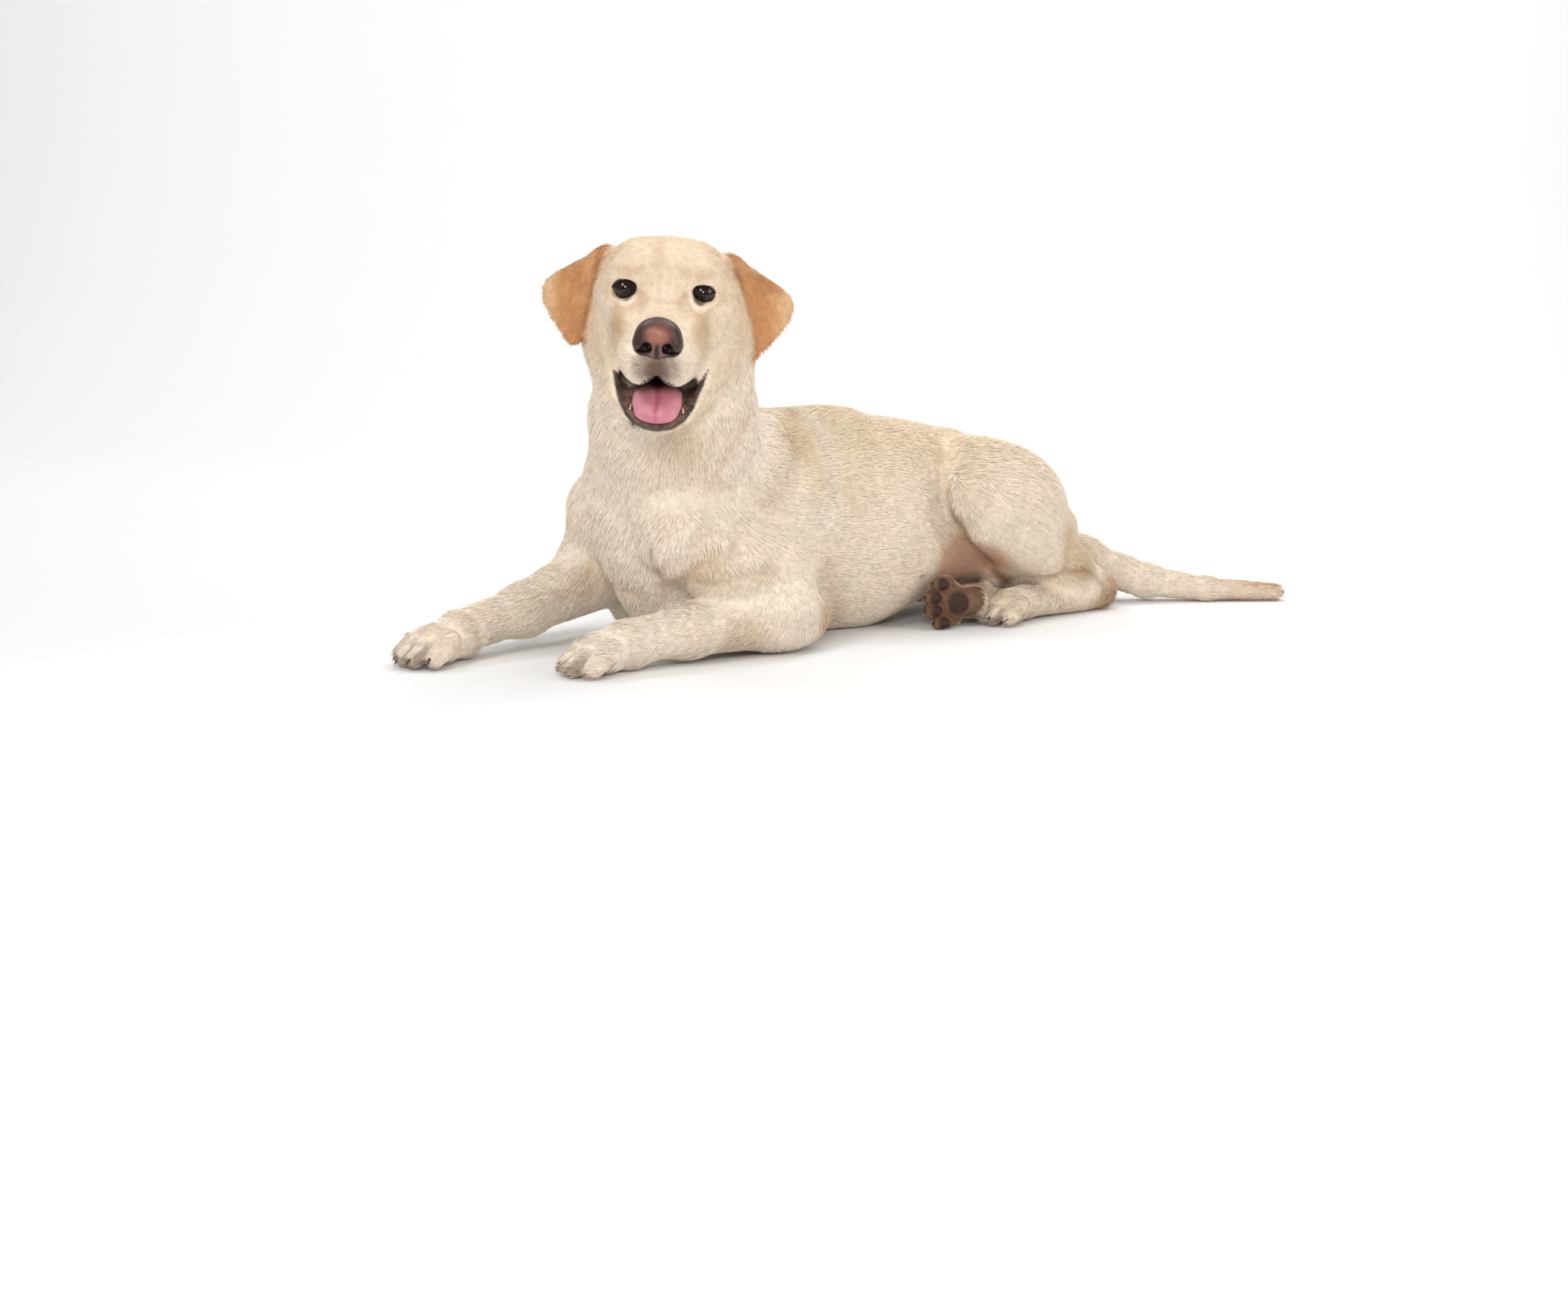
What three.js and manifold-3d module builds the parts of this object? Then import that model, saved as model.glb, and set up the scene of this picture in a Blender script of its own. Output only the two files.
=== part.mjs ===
// Labrador retriever lying on its chest with the forelegs out in front, hips rolled to the right, head turned to its left with the mouth open.
// Millimetres, +Z up, floor at z = 0, forward is -X, the dog's left is -Y.
// The body is one rounded field of cones and ellipsoids (coat tips included). It is meshed on a grid, thinned, then parted into named nodes by thin cuts.
import * as THREE from "three";
import { mergeVertices } from "three/addons/utils/BufferGeometryUtils.js";
import Module from "manifold-3d";

// ---- driving dimensions -------------------------------------------------------
const HEAD_O = [-257.0, -147.5, 390.1]; // midpoint between the eyes
const HEAD_YAW = -124, HEAD_PITCH = 12, HEAD_ROLL = -4; // head turned to the dog's left, nose down, tilted
const EYE_R = 12.5, EYE_X = -2, EYE_Y = 38.5; // eyeball radius and place in the head's frame
const TOE_PITCH = 17.5; // spacing of the toes across a full-size paw

const ORIGIN_X = 73.7, ORIGIN_Y = -39.0; // middle of the bounding box, moved to x = y = 0
const GRID = 4, HEAD_GRID = 3; // cell size of the sampling grid, body and head
const BODY_TRIANGLES = 7300;
const GAP = 0.5; // width of the thin cuts between nodes
const COL = { coat: 0xe6d3b3, ear: 0xc98f58, eye: 0x1b100b, nose: 0x8a5448, tongue: 0xd98594, claw: 0x3a2c25, jaw: 0xd8c09c };

// ---- frames and shape list -------------------------------------------------------
const rad = (a) => (a * Math.PI) / 180;
function rot(yaw, pitch, roll) {
  const [y, p, r] = [rad(yaw), rad(pitch), rad(roll)];
  const cy = Math.cos(y), sy = Math.sin(y), cp = Math.cos(p), sp = Math.sin(p), cr = Math.cos(r), sr = Math.sin(r);
  return [cy * cp, cy * sp * sr - sy * cr, cy * sp * cr + sy * sr, sy * cp, sy * sp * sr + cy * cr, sy * sp * cr - cy * sr, -sp, cp * sr, cp * cr];
}
const mul = (A, B) => {
  const o = [];
  for (let i = 0; i < 3; i++) for (let j = 0; j < 3; j++) o.push(A[3 * i] * B[j] + A[3 * i + 1] * B[3 + j] + A[3 * i + 2] * B[6 + j]);
  return o;
};
const app = (R, p) => [R[0] * p[0] + R[1] * p[1] + R[2] * p[2], R[3] * p[0] + R[4] * p[1] + R[5] * p[2], R[6] * p[0] + R[7] * p[1] + R[8] * p[2]];
let FO = [0, 0, 0], FR = rot(0, 0, 0), GR = [];
const CLAWS = [];
function frame(o, yaw, pitch, roll) { FO = o; FR = rot(yaw, pitch, roll); }
function world() { frame([0, 0, 0], 0, 0, 0); }
const W = (p) => { const q = app(FR, p); return [q[0] + FO[0], q[1] + FO[1], q[2] + FO[2]]; };
const my = (p) => [p[0], -p[1], p[2]];
const mr = (r) => [-r[0], r[1], -r[2]];
function group(name, k) { GR.push({ name, k, prims: [] }); }
const push = (p) => GR[GR.length - 1].prims.push(p);

// Distance to a cone between two spheres.
function coneAt(a, b, r1, r2, s, k) {
  const ba = [b[0] - a[0], b[1] - a[1], b[2] - a[2]], l2 = ba[0] ** 2 + ba[1] ** 2 + ba[2] ** 2, rr = r1 - r2, a2 = l2 - rr * rr, il2 = 1 / l2;
  const d = (x, y, z) => {
    const px = x - a[0], py = y - a[1], pz = z - a[2], t = px * ba[0] + py * ba[1] + pz * ba[2], w = t - l2;
    const vx = px * l2 - ba[0] * t, vy = py * l2 - ba[1] * t, vz = pz * l2 - ba[2] * t, x2 = vx * vx + vy * vy + vz * vz, y2 = t * t * l2, z2 = w * w * l2, kk = Math.sign(rr) * rr * rr * x2;
    if (Math.sign(w) * a2 * z2 > kk) return Math.sqrt(x2 + z2) * il2 - r2;
    if (Math.sign(t) * a2 * y2 < kk) return Math.sqrt(x2 + y2) * il2 - r1;
    return (Math.sqrt(x2 * a2 * il2) + t * rr) * il2 - r1;
  };
  return { s, k, d, lo: [0, 1, 2].map((i) => Math.min(a[i] - r1, b[i] - r2)), hi: [0, 1, 2].map((i) => Math.max(a[i] + r1, b[i] + r2)) };
}
// Near distance to an ellipsoid.
function ellAt(c, r, R, s, k) {
  const i1 = r.map((v) => 1 / v), i2 = r.map((v) => 1 / (v * v));
  const d = (x, y, z) => {
    const px = x - c[0], py = y - c[1], pz = z - c[2];
    const u = R[0] * px + R[3] * py + R[6] * pz, v = R[1] * px + R[4] * py + R[7] * pz, w = R[2] * px + R[5] * py + R[8] * pz;
    const k0 = Math.hypot(u * i1[0], v * i1[1], w * i1[2]), k1 = Math.hypot(u * i2[0], v * i2[1], w * i2[2]);
    return (k0 * (k0 - 1)) / Math.max(k1, 1e-9);
  };
  const e = [0, 1, 2].map((i) => Math.hypot(R[3 * i] * r[0], R[3 * i + 1] * r[1], R[3 * i + 2] * r[2]));
  return { s, k, d, lo: c.map((v, i) => v - e[i]), hi: c.map((v, i) => v + e[i]) };
}
// Bent leaf: an outline in the frame's (y, z), its depth x a quadratic of both, rounded edges, for the ear flaps.
function leafAt(poly, y0, co, t, rc, k, mir) {
  const o = FO.slice(), R = FR.slice(), n = poly.length, e = Math.min(t, 3) * 0.98;
  const depth = (y, z) => co[0] + co[1] * y + co[2] * z + co[3] * y * y + co[4] * z * z;
  const d = (X, Y, Z) => {
    const px = X - o[0], py = Y - o[1], pz = Z - o[2];
    const x = R[0] * px + R[3] * py + R[6] * pz, y = (R[1] * px + R[4] * py + R[7] * pz) * mir, z = R[2] * px + R[5] * py + R[8] * pz;
    const gy = co[1] + 2 * co[3] * (y - y0), gz = co[2] + 2 * co[4] * z, dw = Math.abs(x - depth(y - y0, z)) / Math.sqrt(1 + gy * gy + gz * gz) - t;
    let m = Infinity, s = 1;
    for (let i = 0, j = n - 1; i < n; j = i++) {
      const ex = poly[j][0] - poly[i][0], ey = poly[j][1] - poly[i][1], wx = y - poly[i][0], wy = z - poly[i][1];
      const q = Math.min(1, Math.max(0, (wx * ex + wy * ey) / (ex * ex + ey * ey))), bx = wx - ex * q, by = wy - ey * q;
      m = Math.min(m, bx * bx + by * by);
      const c1 = z >= poly[i][1], c2 = z < poly[j][1], c3 = ex * wy > ey * wx;
      if ((c1 && c2 && c3) || (!c1 && !c2 && !c3)) s = -s;
    }
    const a = dw + e, b = s * Math.sqrt(m) - rc + e;
    return Math.hypot(Math.max(a, 0), Math.max(b, 0)) + Math.min(Math.max(a, b), 0) - e;
  };
  const lo = [1e9, 1e9, 1e9], hi = [-1e9, -1e9, -1e9];
  for (const [y, z] of poly) for (const dy of [-rc, rc]) for (const dz of [-rc, rc]) for (const dx of [-1.5 * t, 1.5 * t]) {
    const p = W([depth(y + dy - y0, z + dz) + dx, (y + dy) * mir, z + dz]);
    for (let i = 0; i < 3; i++) { lo[i] = Math.min(lo[i], p[i] - 3); hi[i] = Math.max(hi[i], p[i] + 3); }
  }
  return { s: 1, k, d, lo, hi };
}
const cone = (a, b, ra, rb, k) => push(coneAt(W(a), W(b), ra, rb, 1, k));
const ell = (c, r, rt, k) => push(ellAt(W(c), r, mul(FR, rot(...rt)), 1, k));
const cutcone = (a, b, ra, rb, k) => push(coneAt(W(a), W(b), ra, rb, -1, k));
const cutell = (c, r, rt, k) => push(ellAt(W(c), r, mul(FR, rot(...rt)), -1, k));
const sym_cone = (a, b, ra, rb, k) => { cone(a, b, ra, rb, k); cone(my(a), my(b), ra, rb, k); };
const sym_ell = (c, r, rt, k) => { ell(c, r, rt, k); ell(my(c), r, mr(rt), k); };
const sym_cutcone = (a, b, ra, rb, k) => { cutcone(a, b, ra, rb, k); cutcone(my(a), my(b), ra, rb, k); };
const sym_cutell = (c, r, rt, k) => { cutell(c, r, rt, k); cutell(my(c), r, mr(rt), k); };
const sym_leaf = (poly, y0, co, t, rc, k) => { push(leafAt(poly, y0, co, t, rc, k, 1)); push(leafAt(poly, y0, co, t, rc, k, -1)); };

// A paw, toes along +x of its frame, sole at z = 0: four toes, a metacarpal block, and pads where the sole shows.
function paw(o, yaw, pitch, roll, s, flat) {
  frame(o, yaw, pitch, roll);
  cone([-16 * s, 0, 25 * s], [16 * s, 0, 25 * s], 24 * s, 22 * s, 14);
  for (const i of [-1.5, -0.5, 0.5, 1.5]) {
    const y = i * TOE_PITCH * s, L = (Math.abs(i) < 1 ? 52 : 40) * s;
    cone([12 * s, y * 0.75, 27 * s], [L - 16 * s, y, 22 * s], 12.5 * s, 12.5 * s, 7);
    cone([L - 16 * s, y, 22 * s], [L, y * 1.02, 12.5 * s], 12 * s, 11 * s, 3);
    CLAWS.push([W([L + 5 * s, y * 1.03, 13 * s]), W([L + 14 * s, y * 1.05, 6 * s]), 3.3 * s, 1.2 * s]);
  }
  ell([14 * s, 0, 9 * s], [19 * s, 20 * s, 10 * s], [0, 0, 0], 8);
  if (!flat) {
    for (const i of [-1.5, -0.5, 0.5, 1.5]) ell([(Math.abs(i) < 1 ? 52 : 40) * s - 6 * s, i * TOE_PITCH * s, 5 * s], [10 * s, 7 * s, 7 * s], [0, 0, 0], 2.5);
    ell([14 * s, 0, 4 * s], [14 * s, 17 * s, 8 * s], [0, 0, 0], 3);
  }
  world();
}

// ---- trunk, neck ------------------------------------------------------------
world();
group('trunk', 0);
ell([-50,0,134],[172,101,118],[0,3,0],0);
ell([-140,0,124],[90,80,100],[0,0,0],40);
cone([-196,0,116],[-150,0,70],50,60,40);
cone([-136,0,62],[60,0,66],60,68,50);
ell([104,2,118],[135,97,111],[0,3,0],50);
cone([40,0,180],[210,2,166],66,60,50);
ell([242,2,112],[98,76,84],[0,16,0],46);
ell([250,64,76],[100,52,64],[10,0,0],50);
cone([-60,0,232],[60,0,230],18,14,40);
cone([-175,-4,194],[-125,0,174],70,78,50);
cone([-180,-30,250],[-200,62,158],64,46,40);
// ---- neck ---------------------------------------------------------------------
cone([-150,-10,194],[-193,-56,262],78,77,50);
cone([-193,-56,262],[-213,-101,338],77,70,50);
// ---- shoulders ------------------------------------------------------------------
sym_ell([-120,60,176],[48,36,88],[0,38,0],26);
sym_cone([-200,76,138],[-145,90,104],44,48,30);
// ---- head -----------------------------------------------------------------------
frame(HEAD_O, HEAD_YAW, HEAD_PITCH, HEAD_ROLL);
group('head', 34);
ell([-55,0,-1],[72,60,44],[0,0,0],0);
sym_ell([-46,30,0],[50,34,40],[0,0,0],14);
ell([-20,0,8],[36,42,30],[0,0,0],16);
sym_ell([-14,30,10],[26,24,21],[0,0,0],12);
sym_cone([-4,50,-16],[-62,58,-10],13,17,16);
sym_ell([-42,46,-38],[44,25,38],[0,0,0],18);
sym_ell([12,30,-22],[30,22,20],[0,0,0],14);
cone([-6,0,-24],[70,0,-35],28,23,14);
sym_cone([6,22,-42],[68,17,-47],28,23,12);
sym_ell([44,25,-60],[38,15,19],[-8,6,0],10);
sym_ell([72,15,-56],[20,14,20],[0,0,0],10);
// cheek ruff
sym_ell([-72,50,-64],[44,39,46],[0,0,0],24);
// lower jaw and throat
sym_cone([-34,40,-58],[12,44,-80],18,8.5,14);
sym_cone([12,45,-80],[26,41,-98],9,9,8);
sym_cone([26,41,-98],[44,27,-114],9,8,8);
sym_cone([44,27,-114],[58,10,-122],8,8,8);
cone([-16,0,-86],[46,0,-120],36,12,12);
cone([-70,0,-62],[14,0,-100],46,24,20);
// nose
ell([88,0,-30],[14,22,17],[0,10,0],4);
// mouth
sym_cutcone([6,40,-77],[62,17,-98],3.5,15,4);
cutcone([-10,0,-82],[80,0,-101],10,18,8);
// eye sockets
sym_cutell([8,39.5,0],[14,13,9.5],[24,0,0],5);
// ---- ears -----------------------------------------------------------------------
group('ears', 8);
sym_leaf([[58,31],[78,16],[95,4],[112,-8],[123,-18],[126,-25],[124,-34],[117,-44],[104,-57],[94,-66],[89,-65],[83,-56],[79,-26],[75,0],[60,12]],62,[-46,-0.55,-0.2,-0.003,0.001],4.2,5.0,0);
sym_cone([-54,48,8],[-60,62,14],18,10,14);
world();
// ---- left foreleg ------------------------------------------------------------------
group('foreleg_L', 12);
cone([-196,-80,132],[-92,-98,66],46,42,20);
ell([-112,-90,104],[76,36,56],[0,30,0],24);
cone([-58,-106,36],[-96,-106,40],27,34,18);
cone([-88,-107,42],[-205,-102,36],38,29,22);
cone([-205,-102,36],[-275,-98,29],29,25,18);
paw([-290,-97,0],180,0,0,1.0,1);
// ---- right foreleg --------------------------------------------------------------------
group('foreleg_R', 12);
cone([-204,72,146],[-205,98,96],46,42,20);
ell([-150,88,108],[70,38,60],[0,34,0],24);
cone([-116,108,26],[-150,108,32],27,34,18);
cone([-190,104,76],[-310,74,43],46,29,22);
cone([-310,74,43],[-394,54,31],29,25,18);
paw([-414,47,0],-165,0,0,1.0,1);
// ---- left hind leg ---------------------------------------------------------------------
group('hindleg_L', 14);
ell([238,-62,150],[92,54,66],[-18,26,0],30);
cone([274,-48,128],[330,-56,98],64,46,40);
cone([262,-56,62],[336,-60,46],30,32,16);
cone([184,-98,154],[262,-84,132],38,52,34);
cone([212,-101,124],[338,-95,57],33,28,26);
cone([338,-95,57],[372,-94,38],28,21,14);
cone([352,-94,44],[397,-93,28],22,19,14);
cone([394,-93,19],[292,-101,21],21,20,12);
paw([252,-106,0],184,0,0,0.9,1);
// ---- right hind leg ----------------------------------------------------------------------
group('hindleg_R', 6);
cone([160,40,52],[300,-20,34],42,28,24);
cone([320,-34,20],[206,-64,28],21,17,12);
paw([170,-112,31],168,0,96,0.86,0);
// ---- tail -------------------------------------------------------------------------------------
world();
group('tail', 26);
cone([332,0,88],[412,-36,55],42,29,20);
cone([412,-36,55],[480,-84,27],29,22,16);
cone([480,-84,27],[545,-126,15],22,16.5,10);
cone([545,-126,15],[618,-174,11.5],16.5,12.5,10);
// ---- nose leather -----------------------------------------------------------------
frame(HEAD_O, HEAD_YAW, HEAD_PITCH, HEAD_ROLL);
group('nose', 0);
ell([80,0,-24],[18,18,16],[0,0,0],0);
sym_ell([79,11,-29],[17,12,14],[0,0,0],8);
sym_ell([84,13.5,-35],[13,10.5,10],[0,0,0],6);
ell([86,0,-39],[10,9,8],[0,0,0],6);
sym_cutell([97,10.5,-34.5],[9,4.4,5.0],[24,0,0],2);
sym_cutcone([94,14,-37],[80,28,-38],3.2,2.2,2);
cutcone([98,0,-33],[95,0,-50],1.0,1.2,1.0);
// ---- tongue -------------------------------------------------------------------------
group('tongue', 0);
ell([22,0,-94],[40,24.5,9],[0,13,0],0);
ell([48,0,-102.5],[20,24,7.5],[0,30,0],10);
ell([60,0,-109.5],[9,19.5,6],[0,50,0],8);
cutcone([10,0,-82],[48,0,-90.5],1.8,1.6,5);
cutcone([48,0,-90.5],[69,0,-103.5],1.6,1.2,5);
world();


// ---- field on a grid, and its zero surface -----------------------------------------
const smin = (a, b, k) => { if (k <= 0) return Math.min(a, b); const h = Math.max(k - Math.abs(a - b), 0) / k; return Math.min(a, b) - h * h * k * 0.25; };
function axis(lo, segs) {
  const out = [lo];
  for (const [upto, h] of segs) { const a = out[out.length - 1], n = Math.max(1, Math.round((upto - a) / h)); for (let i = 1; i <= n; i++) out.push(a + ((upto - a) * i) / n); }
  return out;
}
function field(groups, xs, ys, zs, floor) {
  const nx = xs.length, ny = ys.length, nz = zs.length, at = (i, j, k) => (i * ny + j) * nz + k, M = 14;
  const D = new Float32Array(nx * ny * nz).fill(60), S = new Float32Array(nx * ny * nz);
  const first = (A, v) => { let i = 0; while (i < A.length && A[i] < v) i++; return i; };
  const range = (lo, hi, m) => [xs, ys, zs].map((A, q) => [first(A, lo[q] - m), first(A, hi[q] + m)]);
  for (const g of groups) {
    const pos = g.prims.filter((p) => p.s > 0), lo = [0, 1, 2].map((q) => Math.min(...pos.map((p) => p.lo[q] - p.k))), hi = [0, 1, 2].map((q) => Math.max(...pos.map((p) => p.hi[q] + p.k)));
    const [I, J, K] = range(lo, hi, M);
    for (let i = I[0]; i < I[1]; i++) for (let j = J[0]; j < J[1]; j++) S.fill(60, at(i, j, K[0]), at(i, j, K[1]));
    for (const p of g.prims) {
      const [a, b, c] = range(p.lo, p.hi, p.k + M).map((r, q) => [Math.max(r[0], [I, J, K][q][0]), Math.min(r[1], [I, J, K][q][1])]);
      for (let i = a[0]; i < a[1]; i++) for (let j = b[0]; j < b[1]; j++) for (let k = c[0]; k < c[1]; k++) {
        const n = at(i, j, k), d = p.d(xs[i], ys[j], zs[k]);
        S[n] = p.s > 0 ? smin(S[n], d, p.k) : -smin(-S[n], d, p.k);
      }
    }
    for (let i = I[0]; i < I[1]; i++) for (let j = J[0]; j < J[1]; j++) for (let k = K[0]; k < K[1]; k++) { const n = at(i, j, k); D[n] = smin(D[n], S[n], g.k); }
  }
  if (floor) for (let i = 0; i < nx; i++) for (let j = 0; j < ny; j++) for (let k = 0; k < nz; k++) { const n = at(i, j, k); D[n] = Math.max(D[n], -zs[k]); }
  return D;
}
// Corners of a cell that are joined along its edges: used to keep the surface a clean two-sided one.
const JOINED = (() => {
  const one = (m) => { if (!m) return true; let seen = m & -m, grow = true; while (grow) { grow = false; for (let c = 0; c < 8; c++) if ((seen >> c) & 1) for (const b of [1, 2, 4]) { const n = 1 << (c ^ b); if (m & n && !(seen & n)) { seen |= n; grow = true; } } } return seen === m; };
  return Array.from({ length: 256 }, (_, m) => one(m) && one(255 ^ m));
})();
function surface(D, xs, ys, zs) {
  const nx = xs.length, ny = ys.length, nz = zs.length, at = (i, j, k) => (i * ny + j) * nz + k, off = [];
  for (let c = 0; c < 8; c++) off.push(at(c >> 2, (c >> 1) & 1, c & 1));
  const mask = (n) => { let m = 0; for (let c = 0; c < 8; c++) if (D[n + off[c]] < 0) m |= 1 << c; return m; };
  for (let pass = 0, bad = 1; bad && pass < 60; pass++) {
    bad = 0;
    for (let i = 0; i < nx - 1; i++) for (let j = 0; j < ny - 1; j++) for (let k = 0; k < nz - 1; k++) {
      const n = at(i, j, k), m = mask(n);
      if (m && m !== 255 && !JOINED[m]) { bad++; let w = -1, best = Infinity; for (let c = 0; c < 8; c++) if (!((m >> c) & 1) && D[n + off[c]] < best && zs[k + (c & 1)] > 0) { best = D[n + off[c]]; w = c; } if (w < 0) continue; D[n + off[w]] = -0.05; }
    }
  }
  const idx = new Int32Array(nx * ny * nz).fill(-1), V = [], F = [];
  for (let i = 0; i < nx - 1; i++) for (let j = 0; j < ny - 1; j++) for (let k = 0; k < nz - 1; k++) {
    const n = at(i, j, k), m = mask(n);
    if (!m || m === 255) continue;
    let X = 0, Y = 0, Z = 0, w = 0;
    for (let c = 0; c < 8; c++) for (const b of [4, 2, 1]) {
      if (c & b) continue;
      const e = c | b;
      if (((m >> c) & 1) === ((m >> e) & 1)) continue;
      const d0 = D[n + off[c]], d1 = D[n + off[e]], t = d0 / (d0 - d1), P = (q) => [xs[i + (q >> 2)], ys[j + ((q >> 1) & 1)], zs[k + (q & 1)]], p = P(c), q = P(e);
      X += p[0] + (q[0] - p[0]) * t; Y += p[1] + (q[1] - p[1]) * t; Z += p[2] + (q[2] - p[2]) * t; w++;
    }
    idx[n] = V.length / 3; V.push(X / w, Y / w, Z / w);
  }
  const step = [ny * nz, nz, 1];
  for (let ax = 0; ax < 3; ax++) {
    const [u, v] = [[1, 2], [0, 2], [0, 1]][ax];
    for (let i = 1; i < nx - 1; i++) for (let j = 1; j < ny - 1; j++) for (let k = 1; k < nz - 1; k++) {
      const n = at(i, j, k), a = D[n] < 0, b = D[n + step[ax]] < 0;
      if (a === b) continue;
      const q = [idx[n - step[u] - step[v]], idx[n - step[v]], idx[n], idx[n - step[u]]];
      if ((ax === 1) === a) q.reverse();
      const dist = (s, t) => (V[3 * s] - V[3 * t]) ** 2 + (V[3 * s + 1] - V[3 * t + 1]) ** 2 + (V[3 * s + 2] - V[3 * t + 2]) ** 2;
      if (dist(q[0], q[2]) <= dist(q[1], q[3])) F.push(q[0], q[1], q[2], q[0], q[2], q[3]); else F.push(q[1], q[2], q[3], q[1], q[3], q[0]);
    }
  }
  return { V, F };
}

// ---- thinning: edge collapse by quadric error, keeping the surface closed --------------
function thin({ V, F }, target, weight) {
  const nv = V.length / 3, P = Float64Array.from(V), T = Int32Array.from(F), nf = T.length / 3, alive = new Uint8Array(nf).fill(1), vf = Array.from({ length: nv }, () => []), Q = new Float64Array(nv * 10), ver = new Int32Array(nv);
  const nrm = (a, b, c, o) => {
    const ux = P[3 * b] - P[3 * a], uy = P[3 * b + 1] - P[3 * a + 1], uz = P[3 * b + 2] - P[3 * a + 2], vx = P[3 * c] - P[3 * a], vy = P[3 * c + 1] - P[3 * a + 1], vz = P[3 * c + 2] - P[3 * a + 2];
    o[0] = uy * vz - uz * vy; o[1] = uz * vx - ux * vz; o[2] = ux * vy - uy * vx;
    return Math.hypot(o[0], o[1], o[2]);
  };
  const o = [0, 0, 0];
  for (let f = 0; f < nf; f++) {
    const [a, b, c] = [T[3 * f], T[3 * f + 1], T[3 * f + 2]];
    vf[a].push(f); vf[b].push(f); vf[c].push(f);
    const L = nrm(a, b, c, o); if (L < 1e-12) continue;
    const x = o[0] / L, y = o[1] / L, z = o[2] / L, d = -(x * P[3 * a] + y * P[3 * a + 1] + z * P[3 * a + 2]), w = (L / 2) * weight(P[3 * a], P[3 * a + 1], P[3 * a + 2]);
    const q = [x * x, x * y, x * z, x * d, y * y, y * z, y * d, z * z, z * d, d * d];
    for (const v of [a, b, c]) for (let i = 0; i < 10; i++) Q[10 * v + i] += q[i] * w;
  }
  const cost = (q, x, y, z) => q[0] * x * x + 2 * q[1] * x * y + 2 * q[2] * x * z + 2 * q[3] * x + q[4] * y * y + 2 * q[5] * y * z + 2 * q[6] * y + q[7] * z * z + 2 * q[8] * z + q[9];
  const heap = [], less = (a, b) => a[0] < b[0];
  const up = (i) => { const h = heap[i]; while (i > 0) { const p = (i - 1) >> 1; if (!less(h, heap[p])) break; heap[i] = heap[p]; i = p; } heap[i] = h; };
  const down = (i) => { const h = heap[i], n = heap.length; for (;;) { let c = 2 * i + 1; if (c >= n) break; if (c + 1 < n && less(heap[c + 1], heap[c])) c++; if (!less(heap[c], h)) break; heap[i] = heap[c]; i = c; } heap[i] = h; };
  const edge = (u, v) => {
    const q = new Array(10); for (let i = 0; i < 10; i++) q[i] = Q[10 * u + i] + Q[10 * v + i];
    const mx = (P[3 * u] + P[3 * v]) / 2, my_ = (P[3 * u + 1] + P[3 * v + 1]) / 2, mz = (P[3 * u + 2] + P[3 * v + 2]) / 2, L = Math.hypot(P[3 * u] - P[3 * v], P[3 * u + 1] - P[3 * v + 1], P[3 * u + 2] - P[3 * v + 2]);
    // a light pull to the middle keeps the triangles even on flat parts
    const r = 1e-3 * (q[0] + q[4] + q[7]) + 1e-9, A = [q[0] + r, q[1], q[2], q[1], q[4] + r, q[5], q[2], q[5], q[7] + r], B = [r * mx - q[3], r * my_ - q[6], r * mz - q[8]];
    const det = A[0] * (A[4] * A[8] - A[5] * A[7]) - A[1] * (A[3] * A[8] - A[5] * A[6]) + A[2] * (A[3] * A[7] - A[4] * A[6]);
    let x = mx, y = my_, z = mz;
    if (Math.abs(det) > 1e-12) {
      const X = (B[0] * (A[4] * A[8] - A[5] * A[7]) - A[1] * (B[1] * A[8] - A[5] * B[2]) + A[2] * (B[1] * A[7] - A[4] * B[2])) / det;
      const Y = (A[0] * (B[1] * A[8] - A[5] * B[2]) - B[0] * (A[3] * A[8] - A[5] * A[6]) + A[2] * (A[3] * B[2] - B[1] * A[6])) / det;
      const Z = (A[0] * (A[4] * B[2] - B[1] * A[7]) - A[1] * (A[3] * B[2] - B[1] * A[6]) + B[0] * (A[3] * A[7] - A[4] * A[6])) / det;
      if (Math.hypot(X - mx, Y - my_, Z - mz) < L) { x = X; y = Y; z = Z; }
    }
    heap.push([Math.max(0, cost(q, x, y, z)) + 1e-4 * L * L * L, u, v, ver[u], ver[v], x, y, z]); up(heap.length - 1);
  };
  const ring = (v) => { const s = new Set(); for (const f of vf[v]) for (let i = 0; i < 3; i++) if (T[3 * f + i] !== v) s.add(T[3 * f + i]); return s; };
  for (let v = 0; v < nv; v++) for (const w of ring(v)) if (w > v) edge(v, w);
  let count = nf;
  const n0 = [0, 0, 0], n1 = [0, 0, 0];
  while (count > target && heap.length) {
    const [, u, v, su, sv, x, y, z] = heap[0], last = heap.pop();
    if (heap.length) { heap[0] = last; down(0); }
    if (ver[u] !== su || ver[v] !== sv) continue;
    const ru = ring(u), rv = ring(v); let common = 0;
    for (const w of ru) if (rv.has(w)) common++;
    if (common !== 2 || ru.size + rv.size < 8) continue;
    const shared = vf[u].filter((f) => T[3 * f] === v || T[3 * f + 1] === v || T[3 * f + 2] === v);
    if (shared.length !== 2) continue;
    let ok = true; const keep = [P[3 * u], P[3 * u + 1], P[3 * u + 2]], keepv = [P[3 * v], P[3 * v + 1], P[3 * v + 2]];
    const faces = [...vf[u], ...vf[v]].filter((f) => !shared.includes(f)), before = [];
    for (const f of faces) { const L = nrm(T[3 * f], T[3 * f + 1], T[3 * f + 2], n0); before.push([n0[0] / L, n0[1] / L, n0[2] / L]); }
    P.set([x, y, z], 3 * u); P.set([x, y, z], 3 * v);
    for (let i = 0; i < faces.length && ok; i++) {
      const f = faces[i], L = nrm(T[3 * f], T[3 * f + 1], T[3 * f + 2], n1), b = before[i];
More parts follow.
